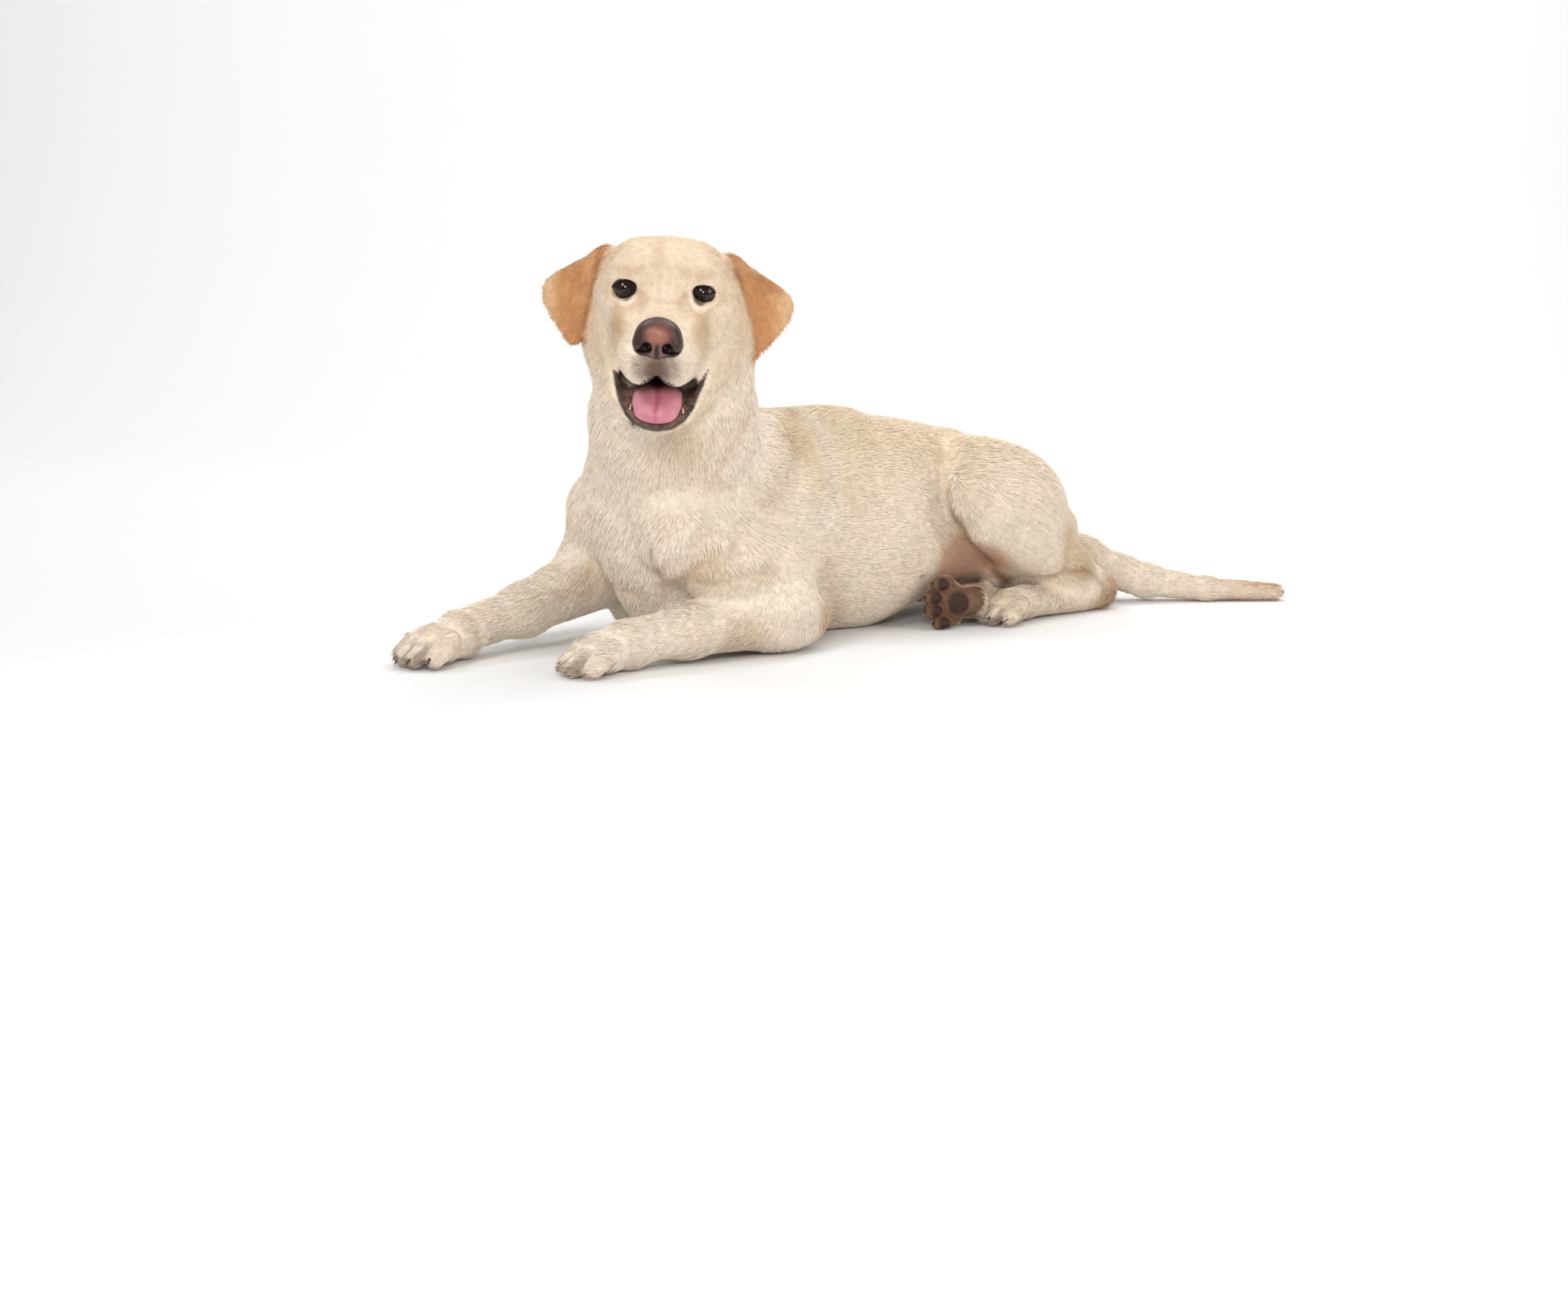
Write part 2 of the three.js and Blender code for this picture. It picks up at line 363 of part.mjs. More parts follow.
      let longest = 0; for (let e = 0; e < 3; e++) { const s = T[3 * f + e], t = T[3 * f + ((e + 1) % 3)]; longest = Math.max(longest, (P[3 * s] - P[3 * t]) ** 2 + (P[3 * s + 1] - P[3 * t + 1]) ** 2 + (P[3 * s + 2] - P[3 * t + 2]) ** 2); }
      if (L < 0.06 * longest || (n1[0] * b[0] + n1[1] * b[1] + n1[2] * b[2]) / L < 0.35) ok = false;
    }
    if (!ok) { P.set(keep, 3 * u); P.set(keepv, 3 * v); continue; }
    for (const f of shared) { alive[f] = 0; for (let i = 0; i < 3; i++) { const w = T[3 * f + i]; vf[w] = vf[w].filter((g) => g !== f); } }
    for (const f of vf[v]) { for (let i = 0; i < 3; i++) if (T[3 * f + i] === v) T[3 * f + i] = u; vf[u].push(f); }
    vf[v] = []; ver[v]++; ver[u]++; count -= 2;
    for (let i = 0; i < 10; i++) Q[10 * u + i] += Q[10 * v + i];
    for (const w of ring(u)) edge(u, w);
  }
  const map = new Int32Array(nv).fill(-1), OV = [], OF = [];
  for (let f = 0; f < nf; f++) if (alive[f]) for (let i = 0; i < 3; i++) {
    const v = T[3 * f + i];
    if (map[v] < 0) { map[v] = OV.length / 3; OV.push(P[3 * v], P[3 * v + 1], Math.abs(P[3 * v + 2]) < 0.4 ? 0 : P[3 * v + 2]); }
    OF.push(map[v]);
  }
  return { V: OV, F: OF };
}

// ---- solids and cuts ---------------------------------------------------------------
const wasm = await Module();
wasm.setup();
const solid = ({ V, F }) => new wasm.Manifold(new wasm.Mesh({ numProp: 3, vertProperties: Float32Array.from(V), triVerts: Uint32Array.from(F) }));
function solidOf(geo, matrix) {
  const g = new THREE.BufferGeometry().setAttribute("position", geo.getAttribute("position").clone());
  if (geo.index) g.setIndex(geo.index);
  g.applyMatrix4(matrix);
  const m = mergeVertices(g, 1e-4);
  return solid({ V: m.attributes.position.array, F: m.index.array });
}
const matrixAt = (o, R) => new THREE.Matrix4().set(R[0], R[1], R[2], o[0], R[3], R[4], R[5], o[1], R[6], R[7], R[8], o[2], 0, 0, 0, 1);
const I3 = rot(0, 0, 0);
// A box between two corners of a frame, grown by g all round.
const boxAt = (o, R, a, b) => (g) => {
  const s = [0, 1, 2].map((i) => b[i] - a[i] + 2 * g), c = [0, 1, 2].map((i) => (a[i] + b[i]) / 2);
  return solidOf(new THREE.BoxGeometry(...s), matrixAt(o, R).multiply(new THREE.Matrix4().makeTranslation(...c)));
};
const box = (a, b) => boxAt([0, 0, 0], I3, a, b);
// A side outline in (x, z), drawn out along y from y0 to y1.
const slab = (pts, y0, y1) => (g) => {
  const c = [0, 1].map((i) => pts.reduce((s, p) => s + p[i], 0) / pts.length);
  const q = pts.map((p) => { const L = Math.hypot(p[0] - c[0], p[1] - c[1]), k = 1 + (1.4 * g) / L; return new THREE.Vector2(c[0] + (p[0] - c[0]) * k, c[1] + (p[1] - c[1]) * k); });
  const geo = new THREE.ExtrudeGeometry(new THREE.Shape(q), { depth: y1 - y0 + 2 * g, bevelEnabled: false });
  return solidOf(geo, new THREE.Matrix4().set(1, 0, 0, 0, 0, 0, -1, y1 + g, 0, 1, 0, 0, 0, 0, 0, 1));
};
const both = (a, b) => (g) => a(g).add(b(g));
const biggest = (m) => m.decompose().sort((p, q) => q.volume() - p.volume())[0];

// ---- nodes ------------------------------------------------------------------------
const HR = rot(HEAD_YAW, HEAD_PITCH, HEAD_ROLL), H = (p) => { const q = app(HR, p); return [q[0] + HEAD_O[0], q[1] + HEAD_O[1], q[2] + HEAD_O[2]]; };
const small = GR.filter((g) => g.name === "nose" || g.name === "tongue"), main = GR.filter((g) => !small.includes(g));
const sh = (A, o) => A.map((v) => v + o);
function bodySolid() {
  const xs = axis(-500, [[-350, GRID], [-130, HEAD_GRID], [680, GRID]]), ys = axis(-320, [[20, HEAD_GRID], [190, GRID]]), zs = axis(-12, [[0, 4], [256, GRID], [460, HEAD_GRID]]);
  const D = field(main, xs, ys, zs, true);
  const fine = (x, y, z) => { const dx = x - HEAD_O[0], dy = y - HEAD_O[1], dz = z - HEAD_O[2] + 30; return dx * dx + dy * dy + dz * dz < 150 * 150 ? 14 : z < 70 && (x < -255 || (x > 100 && x < 270 && y < -50)) ? 7 : 1; };
  return solid(thin(surface(D, xs, ys, zs), BODY_TRIANGLES, fine));
}
// A small part from its own group of the list, sampled in a cube round a point, grown by g; plain leaves its cuts out.
function smallSolid(name, at, half, h, tris, g, plain) {
  const gr = small.filter((q) => q.name === name).map((q) => ({ ...q, prims: plain ? q.prims.filter((p) => p.s > 0) : q.prims }));
  const [xs, ys, zs] = at.map((c) => axis(c - half, [[c + half, h]])), D = field(gr, xs, ys, zs, false);
  if (g) for (let i = 0; i < D.length; i++) D[i] -= g;
  return biggest(solid(thin(surface(D, xs, ys, zs), tris, () => 1)));
}
const between = (a, b, ra, rb, n) => {
  const A = new THREE.Vector3(...a), B = new THREE.Vector3(...b), d = B.clone().sub(A), q = new THREE.Quaternion().setFromUnitVectors(new THREE.Vector3(0, 1, 0), d.clone().normalize());
  return solidOf(new THREE.CylinderGeometry(rb, ra, d.length(), n), new THREE.Matrix4().compose(A.clone().add(B).multiplyScalar(0.5), q, new THREE.Vector3(1, 1, 1)));
};
const ball = (c, r, n = 2) => solidOf(new THREE.IcosahedronGeometry(r, n), new THREE.Matrix4().makeTranslation(...c));

const nodes = {}, REG = {};
let rest = bodySolid();
const carve = (name, region) => { REG[name] = region; const cut = rest.intersect(region(0)), all = cut.decompose(); nodes[name] = biggest(cut); rest = rest.subtract(region(GAP)); if (all.length > 1) LOST.push([name, cut.volume() - nodes[name].volume()]); };
const LOST = [];

for (const [s, side] of [[1, "left"], [-1, "right"]]) {
  nodes["eye_" + side] = ball(H([EYE_X, s * EYE_Y, 0]), EYE_R);
  REG["eye_" + side] = (g) => ball(H([EYE_X, s * EYE_Y, 0]), EYE_R + g);
  rest = rest.subtract(REG["eye_" + side](0.7));
}
nodes.nose = smallSolid("nose", H([86, 0, -30]), 34, 1.6, 320, 0, false);
nodes.tongue = smallSolid("tongue", H([36, 0, -102]), 56, 2, 220, 0, false);
REG.nose = (g) => smallSolid("nose", H([86, 0, -30]), 34, 1.6, 600, g, true);
REG.tongue = (g) => smallSolid("tongue", H([36, 0, -102]), 56, 2, 300, g, true);
rest = rest.subtract(REG.nose(0.8)).subtract(REG.tongue(0.9));
CLAWS.forEach(([a, b, ra, rb], i) => {
  const c = i % 4, n = ["forepaw_left", "forepaw_right", "hindpaw_left", "hindpaw_right"][i >> 2] + "_claw_" + (c + 1);
  nodes[n] = between(a, b, ra, rb, 6);
  const d = [0, 1, 2].map((k) => b[k] - a[k]), L = Math.hypot(...d), e = (p, t) => p.map((v, k) => v + (d[k] / L) * t);
  REG[n] = (g) => between(e(a, -g), e(b, g), ra + 1.15 * g, rb + 1.15 * g, 6);
  rest = rest.subtract(REG[n](0.6));
});
rest = biggest(rest);

// ears: a box that follows the flap
for (const [s, side] of [[1, "left"], [-1, "right"]]) carve("ear_" + side, boxAt(H([-62, 92 * s, -15]), mul(HR, rot(28.8 * s, -10, 0)), [-10, s > 0 ? -27 : -52, -66], [22, s > 0 ? 52 : 27, 66]));
// tail, along its first length
carve("tail", boxAt([372, -12, 82], rot(-25.6, 0, 0), [0, -33, -110], [400, 70, 90]));
// head, neck and jaw
carve("head_all", boxAt(H([-62, 0, -70]), mul(HR, rot(0, 46.4, 0)), [-300, -300, 0], [300, 300, 400]));
carve("neck", boxAt([-178, -40, 238], rot(-133.1, 42.86, 0), [-300, -300, 0], [300, 300, 400]));
{
  const jaw = boxAt(H([20, 0, -79.5]), mul(HR, rot(0, 11.3, 0)), [-66, -70, -90], [90, 70, 0]), all = nodes.head_all;
  nodes.lower_jaw = biggest(all.intersect(jaw(0)));
  nodes.head = biggest(all.subtract(jaw(GAP)));
  REG.lower_jaw = jaw; REG.head = REG.head_all;
  delete nodes.head_all;
  // lower teeth, joined to the jaw they grow from
  for (const s of [1, -1]) {
    nodes.lower_jaw = nodes.lower_jaw.add(between(H([46, 26 * s, -120]), H([48, 25.5 * s, -102]), 3.8, 1.2, 8));
    [[38, 31], [27, 36]].forEach(([x, y], i) => { nodes.lower_jaw = nodes.lower_jaw.add(between(H([x, y * s, -108 + 7 * i]), H([x + 1, y * s - s, -96 + 6 * i]), 3.4, 1.3, 6)); });
  }
  nodes.lower_jaw = biggest(nodes.lower_jaw.subtract(REG.tongue(0.9)));
}
// hind feet and legs
carve("hindpaw_right", both(box([100, -136, -10], [187, -36, 76]), box([186, -76, -10], [207, -36, 76])));
carve("hindleg_right", both(box([207.5, -77, -10], [336, 62, 54]), box([150, 50, -10], [372, 200, 132])));
carve("hindpaw_left", box([187.5, -160, -10], [266, -77.5, 60]));
carve("hindleg_left", slab([[120, 54], [266.6, 54], [266.6, -12], [460, -12], [440, 90], [374, 168], [300, 240], [205, 238], [142, 190], [120, 130]], -200, -41));
// forelegs, paws first
carve("forepaw_left", box([-400, -160, -10], [-262, -40, 90]));
carve("foreleg_left", slab([[-262.5, -12], [-6, -12], [-4, 60], [-66, 128], [-104, 186], [-180, 196], [-232, 150], [-262.5, 110]], -220, -64));
carve("forepaw_right", boxAt([-384, 56, 30], rot(-165, 0, 0), [0, -60, -60], [120, 60, 60]));
carve("foreleg_right", both(slab([[-262, -12], [-70, -12], [-66, 60], [-96, 138], [-130, 196], [-200, 206], [-262, 150]], 52, 220), box([-440, 4, -12], [-261, 220, 160])));
nodes.trunk = biggest(rest);

// Thin each node to its share of the triangles. Beds of the claws, eyes, nose and tongue keep their shape.
const BEDS = [...CLAWS.map(([a]) => [a, 13]), [H([EYE_X, EYE_Y, 0]), 20], [H([EYE_X, -EYE_Y, 0]), 20], [H([84, 0, -30]), 34]];
const SHARE = { head: 1560, lower_jaw: 600, trunk: 960, neck: 380, ear_left: 210, ear_right: 210, foreleg_left: 360, foreleg_right: 440, forepaw_left: 430, forepaw_right: 430, hindleg_left: 440, hindleg_right: 300, hindpaw_left: 400, hindpaw_right: 440, tail: 200 };
const tongueAt = H([38, 0, -102]);
for (const [n, t] of Object.entries(SHARE)) {
  const m = nodes[n].getMesh(), k = m.numProp, V = [];
  for (let i = 0; i < m.numVert; i++) V.push(m.vertProperties[i * k], m.vertProperties[i * k + 1], m.vertProperties[i * k + 2]);
  const near = (x, y, z, c, r) => (x - c[0]) ** 2 + (y - c[1]) ** 2 + (z - c[2]) ** 2 < r * r;
  nodes[n] = biggest(solid(thin({ V, F: Array.from(m.triVerts) }, t, (x, y, z) => { const bed = BEDS.find(([c, r]) => near(x, y, z, c, r)); return bed ? (bed[1] < 18 ? 40 : 8) : near(x, y, z, tongueAt, 46) ? 12 : 1; })));
}

// Trim what thinning moved across a cut.
const CUT_ORDER = ["eye_left", "eye_right", "nose", "tongue", ...Object.keys(nodes).filter((n) => n.includes("claw")), "ear_left", "ear_right", "tail", "lower_jaw", "head", "neck", "hindpaw_right", "hindleg_right", "hindpaw_left", "hindleg_left", "forepaw_left", "foreleg_left", "forepaw_right", "foreleg_right", "trunk"];
CUT_ORDER.forEach((p, i) => CUT_ORDER.slice(i + 1).forEach((q) => {
  if (nodes[p].intersect(nodes[q]).volume() < 0.002) return;
  if (i > 3 && !p.includes("claw")) nodes[p] = biggest(nodes[p].intersect(REG[p](0.12)));
  if (nodes[p].intersect(nodes[q]).volume() > 0.002) nodes[q] = biggest(nodes[q].subtract(REG[p](i > 3 && !p.includes("claw") ? 0.36 : p === "tongue" ? 1.2 : 0.3)));
  const left = nodes[p].intersect(nodes[q]).volume();
  if (left > 0.005) LOST.push([p, q, left]);
}));

const order = ["trunk", "neck", "head", "lower_jaw", "ear_left", "ear_right", "foreleg_left", "foreleg_right", "forepaw_left", "forepaw_right", "hindleg_left", "hindleg_right", "hindpaw_left", "hindpaw_right", "tail", "nose", "tongue", "eye_left", "eye_right"];
const names = [...order, ...Object.keys(nodes).filter((n) => !order.includes(n))];
const tone = (n) => (n.includes("claw") ? COL.claw : n.startsWith("ear") ? COL.ear : n.startsWith("eye") ? COL.eye : n === "nose" ? COL.nose : n === "tongue" ? COL.tongue : n === "lower_jaw" ? COL.jaw : COL.coat);
const group_ = new THREE.Group();
for (const n of names) {
  const m = nodes[n].getMesh(), k = m.numProp, v = new Float32Array(m.numVert * 3);
  for (let i = 0; i < m.numVert; i++) v.set([m.vertProperties[i * k] - ORIGIN_X, m.vertProperties[i * k + 1] - ORIGIN_Y, m.vertProperties[i * k + 2]], i * 3);
  const geo = new THREE.BufferGeometry().setAttribute("position", new THREE.BufferAttribute(v, 3)).setIndex(new THREE.BufferAttribute(Uint32Array.from(m.triVerts), 1));
  geo.computeVertexNormals();
  const wet = n.startsWith("eye") || n === "tongue";
  const mesh = new THREE.Mesh(geo, new THREE.MeshStandardMaterial({ color: tone(n), roughness: n.startsWith("eye") ? 0.08 : wet ? 0.35 : n === "nose" ? 0.45 : n.includes("claw") ? 0.4 : 0.85, metalness: 0 }));
  mesh.name = n;
  group_.add(mesh);
}



export default group_;
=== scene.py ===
"""Labrador retriever, still model: skin, coat, eyes, nose, mouth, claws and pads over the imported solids. Metres at the end, millimetres while shaping."""
import bpy, math
import numpy as np
from mathutils import Matrix, Vector

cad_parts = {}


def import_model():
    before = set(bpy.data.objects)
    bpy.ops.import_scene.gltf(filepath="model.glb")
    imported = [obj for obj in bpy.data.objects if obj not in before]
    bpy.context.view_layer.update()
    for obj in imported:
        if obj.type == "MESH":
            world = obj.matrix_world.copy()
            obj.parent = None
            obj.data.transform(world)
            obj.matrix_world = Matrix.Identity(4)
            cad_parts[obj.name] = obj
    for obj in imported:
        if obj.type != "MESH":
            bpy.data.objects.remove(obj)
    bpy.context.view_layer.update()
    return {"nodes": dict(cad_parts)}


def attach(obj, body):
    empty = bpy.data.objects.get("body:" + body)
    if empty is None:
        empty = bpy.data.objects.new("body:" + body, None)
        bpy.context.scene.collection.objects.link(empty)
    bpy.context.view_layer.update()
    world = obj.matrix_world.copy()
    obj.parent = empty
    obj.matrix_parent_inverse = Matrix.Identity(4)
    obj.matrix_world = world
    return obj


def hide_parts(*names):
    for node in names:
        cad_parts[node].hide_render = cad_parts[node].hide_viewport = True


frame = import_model()
RNG = np.random.default_rng(20)
ORIGIN = np.array([73.72, -39.0, 0.0])   # the shape list's own origin, moved to the box's middle
HEAD_O = [-257.0, -147.5, 390.1]
HEAD_YAW, HEAD_PITCH, HEAD_ROLL = -124, 12, -4
EYE_R, EYE_X, EYE_Y = 12.5, -2, 38.5
TOE_PITCH = 17.5

# ---- rounded shapes as distance functions ------------------------------------------
GR = []
FR = [np.eye(3), np.zeros(3)]
def rot(yaw, pitch, roll):
    y, p, r = [math.radians(a) for a in (yaw, pitch, roll)]
    cy, sy, cp, sp, cr, sr = math.cos(y), math.sin(y), math.cos(p), math.sin(p), math.cos(r), math.sin(r)
    return np.array([[cy, -sy, 0], [sy, cy, 0], [0, 0, 1]]) @ np.array([[cp, 0, sp], [0, 1, 0], [-sp, 0, cp]]) @ np.array([[1, 0, 0], [0, cr, -sr], [0, sr, cr]])
def frame_at(o, yaw, pitch, roll): FR[0] = rot(yaw, pitch, roll); FR[1] = np.array(o, float)
def world(): frame_at([0, 0, 0], 0, 0, 0)
def W(p): return FR[0] @ np.array(p, float) + FR[1]
def my(p): return [p[0], -p[1], p[2]]
def mr(r): return [-r[0], r[1], -r[2]]
def group(name, k): GR.append(dict(name=name, k=k, prims=[]))
def put(p): GR[-1]["prims"].append(p)

def cone_at(a, b, r1, r2, s, k):
    a, b = np.asarray(a, float), np.asarray(b, float)
    ba = b - a; l2 = ba @ ba; rr = r1 - r2; a2 = l2 - rr * rr; il2 = 1.0 / l2
    def d(P):
        pa = P - a; y = pa @ ba; z = y - l2
        x2 = ((pa * l2 - ba * y[..., None]) ** 2).sum(-1)
        y2 = y * y * l2; z2 = z * z * l2; kk = np.sign(rr) * rr * rr * x2
        o = (np.sqrt(x2 * a2 * il2) + y * rr) * il2 - r1
        o = np.where(np.sign(z) * a2 * z2 > kk, np.sqrt(x2 + z2) * il2 - r2, o)
        return np.where(np.sign(y) * a2 * y2 < kk, np.sqrt(x2 + y2) * il2 - r1, o)
    return dict(s=s, k=k, d=d, lo=np.minimum(a - r1, b - r2), hi=np.maximum(a + r1, b + r2))
def ell_at(c, r, R, s, k):
    c, r = np.asarray(c, float), np.asarray(r, float)
    def d(P):
        q = (P - c) @ R
        k0 = np.sqrt(((q / r) ** 2).sum(-1)); k1 = np.sqrt(((q / (r * r)) ** 2).sum(-1))
        return k0 * (k0 - 1.0) / np.maximum(k1, 1e-9)
    e = np.sqrt(((R * r) ** 2).sum(1))
    return dict(s=s, k=k, d=d, lo=c - e, hi=c + e)
def leaf_at(poly, y0, co, t, rc, k, mir):
    o, R = FR[1].copy(), FR[0].copy(); n = len(poly); e = min(t, 3.0) * 0.98
    depth = lambda y, z: co[0] + co[1] * y + co[2] * z + co[3] * y * y + co[4] * z * z
    def d(P):
        q = (P - o) @ R; x, y, z = q[..., 0], q[..., 1] * mir, q[..., 2]
        gy = co[1] + 2 * co[3] * (y - y0); gz = co[2] + 2 * co[4] * z
        dw = np.abs(x - depth(y - y0, z)) / np.sqrt(1 + gy * gy + gz * gz) - t
        m = None; s = np.ones(y.shape)
        for i in range(n):
            j = (i - 1) % n
            ex, ey = poly[j][0] - poly[i][0], poly[j][1] - poly[i][1]; wx, wy = y - poly[i][0], z - poly[i][1]
            u = np.clip((wx * ex + wy * ey) / (ex * ex + ey * ey), 0, 1); dd = (wx - ex * u) ** 2 + (wy - ey * u) ** 2
            m = dd if m is None else np.minimum(m, dd)
            c1 = z >= poly[i][1]; c2 = z < poly[j][1]; c3 = ex * wy > ey * wx
            s = np.where((c1 & c2 & c3) | (~c1 & ~c2 & ~c3), -s, s)
        a = dw + e; b = s * np.sqrt(m) - rc + e
        return np.sqrt(np.maximum(a, 0) ** 2 + np.maximum(b, 0) ** 2) + np.minimum(np.maximum(a, b), 0) - e
    pts = np.array([W([depth(y + dy - y0, z + dz) + dx, (y + dy) * mir, z + dz]) for y, z in poly for dy in (-rc, rc) for dz in (-rc, rc) for dx in (-1.5 * t, 1.5 * t)])
    return dict(s=1, k=k, d=d, lo=pts.min(0) - 3, hi=pts.max(0) + 3, leaf=mir)
def cone(a, b, ra, rb, k): put(cone_at(W(a), W(b), ra, rb, 1, k))
def ell(c, r, rt, k): put(ell_at(W(c), r, FR[0] @ rot(*rt), 1, k))
def cutcone(a, b, ra, rb, k): put(cone_at(W(a), W(b), ra, rb, -1, k))
def cutell(c, r, rt, k): put(ell_at(W(c), r, FR[0] @ rot(*rt), -1, k))
def sym_cone(a, b, ra, rb, k): cone(a, b, ra, rb, k); cone(my(a), my(b), ra, rb, k)
def sym_ell(c, r, rt, k): ell(c, r, rt, k); ell(my(c), r, mr(rt), k)
def sym_cutcone(a, b, ra, rb, k): cutcone(a, b, ra, rb, k); cutcone(my(a), my(b), ra, rb, k)
def sym_cutell(c, r, rt, k): cutell(c, r, rt, k); cutell(my(c), r, mr(rt), k)
def sym_leaf(poly, y0, co, t, rc, k): put(leaf_at(poly, y0, co, t, rc, k, 1)); put(leaf_at(poly, y0, co, t, rc, k, -1))

CLAWS, PADS, PAWS = [], [], []
def paw(o, yaw, pitch, roll, s, flat):
    frame_at(o, yaw, pitch, roll)
    PAWS.append((W([28 * s, 0, 15 * s]), FR[0].copy(), s, FR[1].copy()))
    cone([-16 * s, 0, 25 * s], [16 * s, 0, 25 * s], 24 * s, 22 * s, 14)
    for i in (-1.5, -0.5, 0.5, 1.5):
        y = i * TOE_PITCH * s; L = (52 if abs(i) < 1 else 40) * s
        cone([12 * s, y * 0.75, 27 * s], [L - 16 * s, y, 22 * s], 12.5 * s, 12.5 * s, 7)
        cone([L - 16 * s, y, 22 * s], [L, y * 1.02, 12.5 * s], 12 * s, 11 * s, 3)
        CLAWS.append((W([L + 2 * s, y * 1.03, 15 * s]), W([L + 9 * s, y * 1.04, 12.5 * s]), W([L + 14 * s, y * 1.05, 5.5 * s]), 3.2 * s))
    ell([14 * s, 0, 9 * s], [19 * s, 20 * s, 10 * s], [0, 0, 0], 8)
    if not flat:
        for i in (-1.5, -0.5, 0.5, 1.5):
            c = [(52 if abs(i) < 1 else 40) * s - 6 * s, i * TOE_PITCH * s, 5 * s]
            ell(c, [10 * s, 7 * s, 7 * s], [0, 0, 0], 2.5); PADS.append((W(c), 10.5 * s))
        ell([14 * s, 0, 4 * s], [14 * s, 17 * s, 8 * s], [0, 0, 0], 3); PADS.append((W([14 * s, 0, 2 * s]), 17 * s))
    world()

# ---- trunk, neck ------------------------------------------------------------
world()
group('trunk', 0)
ell([-50,0,134],[172,101,118],[0,3,0],0)
ell([-140,0,124],[90,80,100],[0,0,0],40)
cone([-196,0,116],[-150,0,70],50,60,40)
cone([-136,0,62],[60,0,66],60,68,50)
ell([104,2,118],[135,97,111],[0,3,0],50)
cone([40,0,180],[210,2,166],66,60,50)
ell([242,2,112],[98,76,84],[0,16,0],46)
ell([250,64,76],[100,52,64],[10,0,0],50)
cone([-60,0,232],[60,0,230],18,14,40)
cone([-175,-4,194],[-125,0,174],70,78,50)
cone([-180,-30,250],[-200,62,158],64,46,40)
# ---- neck ---------------------------------------------------------------------
cone([-150,-10,194],[-193,-56,262],78,77,50)
cone([-193,-56,262],[-213,-101,338],77,70,50)
# ---- shoulders ------------------------------------------------------------------
sym_ell([-120,60,176],[48,36,88],[0,38,0],26)
sym_cone([-200,76,138],[-145,90,104],44,48,30)
# ---- head -----------------------------------------------------------------------
frame_at(HEAD_O, HEAD_YAW, HEAD_PITCH, HEAD_ROLL)
group('head', 34)
ell([-55,0,-1],[72,60,44],[0,0,0],0)
sym_ell([-46,30,0],[50,34,40],[0,0,0],14)
ell([-20,0,8],[36,42,30],[0,0,0],16)
sym_ell([-14,30,10],[26,24,21],[0,0,0],12)
sym_cone([-4,50,-16],[-62,58,-10],13,17,16)
sym_ell([-42,46,-38],[44,25,38],[0,0,0],18)
sym_ell([12,30,-22],[30,22,20],[0,0,0],14)
cone([-6,0,-24],[70,0,-35],28,23,14)
sym_cone([6,22,-42],[68,17,-47],28,23,12)
sym_ell([44,25,-60],[38,15,19],[-8,6,0],10)
sym_ell([72,15,-56],[20,14,20],[0,0,0],10)
# cheek ruff
sym_ell([-72,50,-64],[44,39,46],[0,0,0],24)
# lower jaw and throat
sym_cone([-34,40,-58],[12,44,-80],18,8.5,14)
sym_cone([12,45,-80],[26,41,-98],9,9,8)
sym_cone([26,41,-98],[44,27,-114],9,8,8)
sym_cone([44,27,-114],[58,10,-122],8,8,8)
cone([-16,0,-86],[46,0,-120],36,12,12)
cone([-70,0,-62],[14,0,-100],46,24,20)
# nose
ell([73,0,-30],[12,18,14],[0,10,0],4)
# mouth
sym_cutcone([6,40,-77],[62,17,-98],3.5,15,4)
cutcone([-10,0,-82],[80,0,-101],10,18,8)
# eye sockets
sym_cutell([8,39.5,0.4],[13.4,12.9,8.9],[24,0,-15],4)
# ---- ears -----------------------------------------------------------------------
group('ears', 8)
sym_leaf([[58,31],[78,16],[95,4],[112,-8],[123,-18],[126,-25],[124,-34],[117,-44],[104,-57],[94,-66],[89,-65],[83,-56],[79,-26],[75,0],[60,12]],62,[-46,-0.55,-0.2,-0.003,0.001],4.2,5.0,0)
sym_cone([-54,48,8],[-60,62,14],18,10,14)
world()
# ---- left foreleg ------------------------------------------------------------------
group('foreleg_L', 12)
cone([-196,-80,132],[-92,-98,66],46,42,20)
ell([-112,-90,104],[76,36,56],[0,30,0],24)
cone([-58,-106,36],[-96,-106,40],27,34,18)
cone([-88,-107,42],[-205,-102,36],38,29,22)
cone([-205,-102,36],[-275,-98,29],29,25,18)
paw([-290,-97,0],180,0,0,1.0,1)
# ---- right foreleg --------------------------------------------------------------------
group('foreleg_R', 12)
cone([-204,72,146],[-205,98,96],46,42,20)
ell([-150,88,108],[70,38,60],[0,34,0],24)
cone([-116,108,26],[-150,108,32],27,34,18)
cone([-190,104,76],[-310,74,43],46,29,22)
cone([-310,74,43],[-394,54,31],29,25,18)
paw([-414,47,0],-165,0,0,1.0,1)
# ---- left hind leg ---------------------------------------------------------------------
group('hindleg_L', 14)
ell([238,-62,150],[92,54,66],[-18,26,0],30)
cone([274,-48,128],[330,-56,98],64,46,40)
cone([262,-56,62],[336,-60,46],30,32,16)
cone([184,-98,154],[262,-84,132],38,52,34)
cone([212,-101,124],[338,-95,57],33,28,26)
cone([338,-95,57],[372,-94,38],28,21,14)
cone([352,-94,44],[397,-93,28],22,19,14)
cone([394,-93,19],[292,-101,21],21,20,12)
paw([252,-106,0],184,0,0,0.9,1)
# ---- right hind leg ----------------------------------------------------------------------
group('hindleg_R', 6)
cone([160,40,52],[300,-20,34],42,28,24)
cone([320,-34,20],[206,-64,28],21,17,12)
paw([170,-112,31],168,0,96,0.86,0)
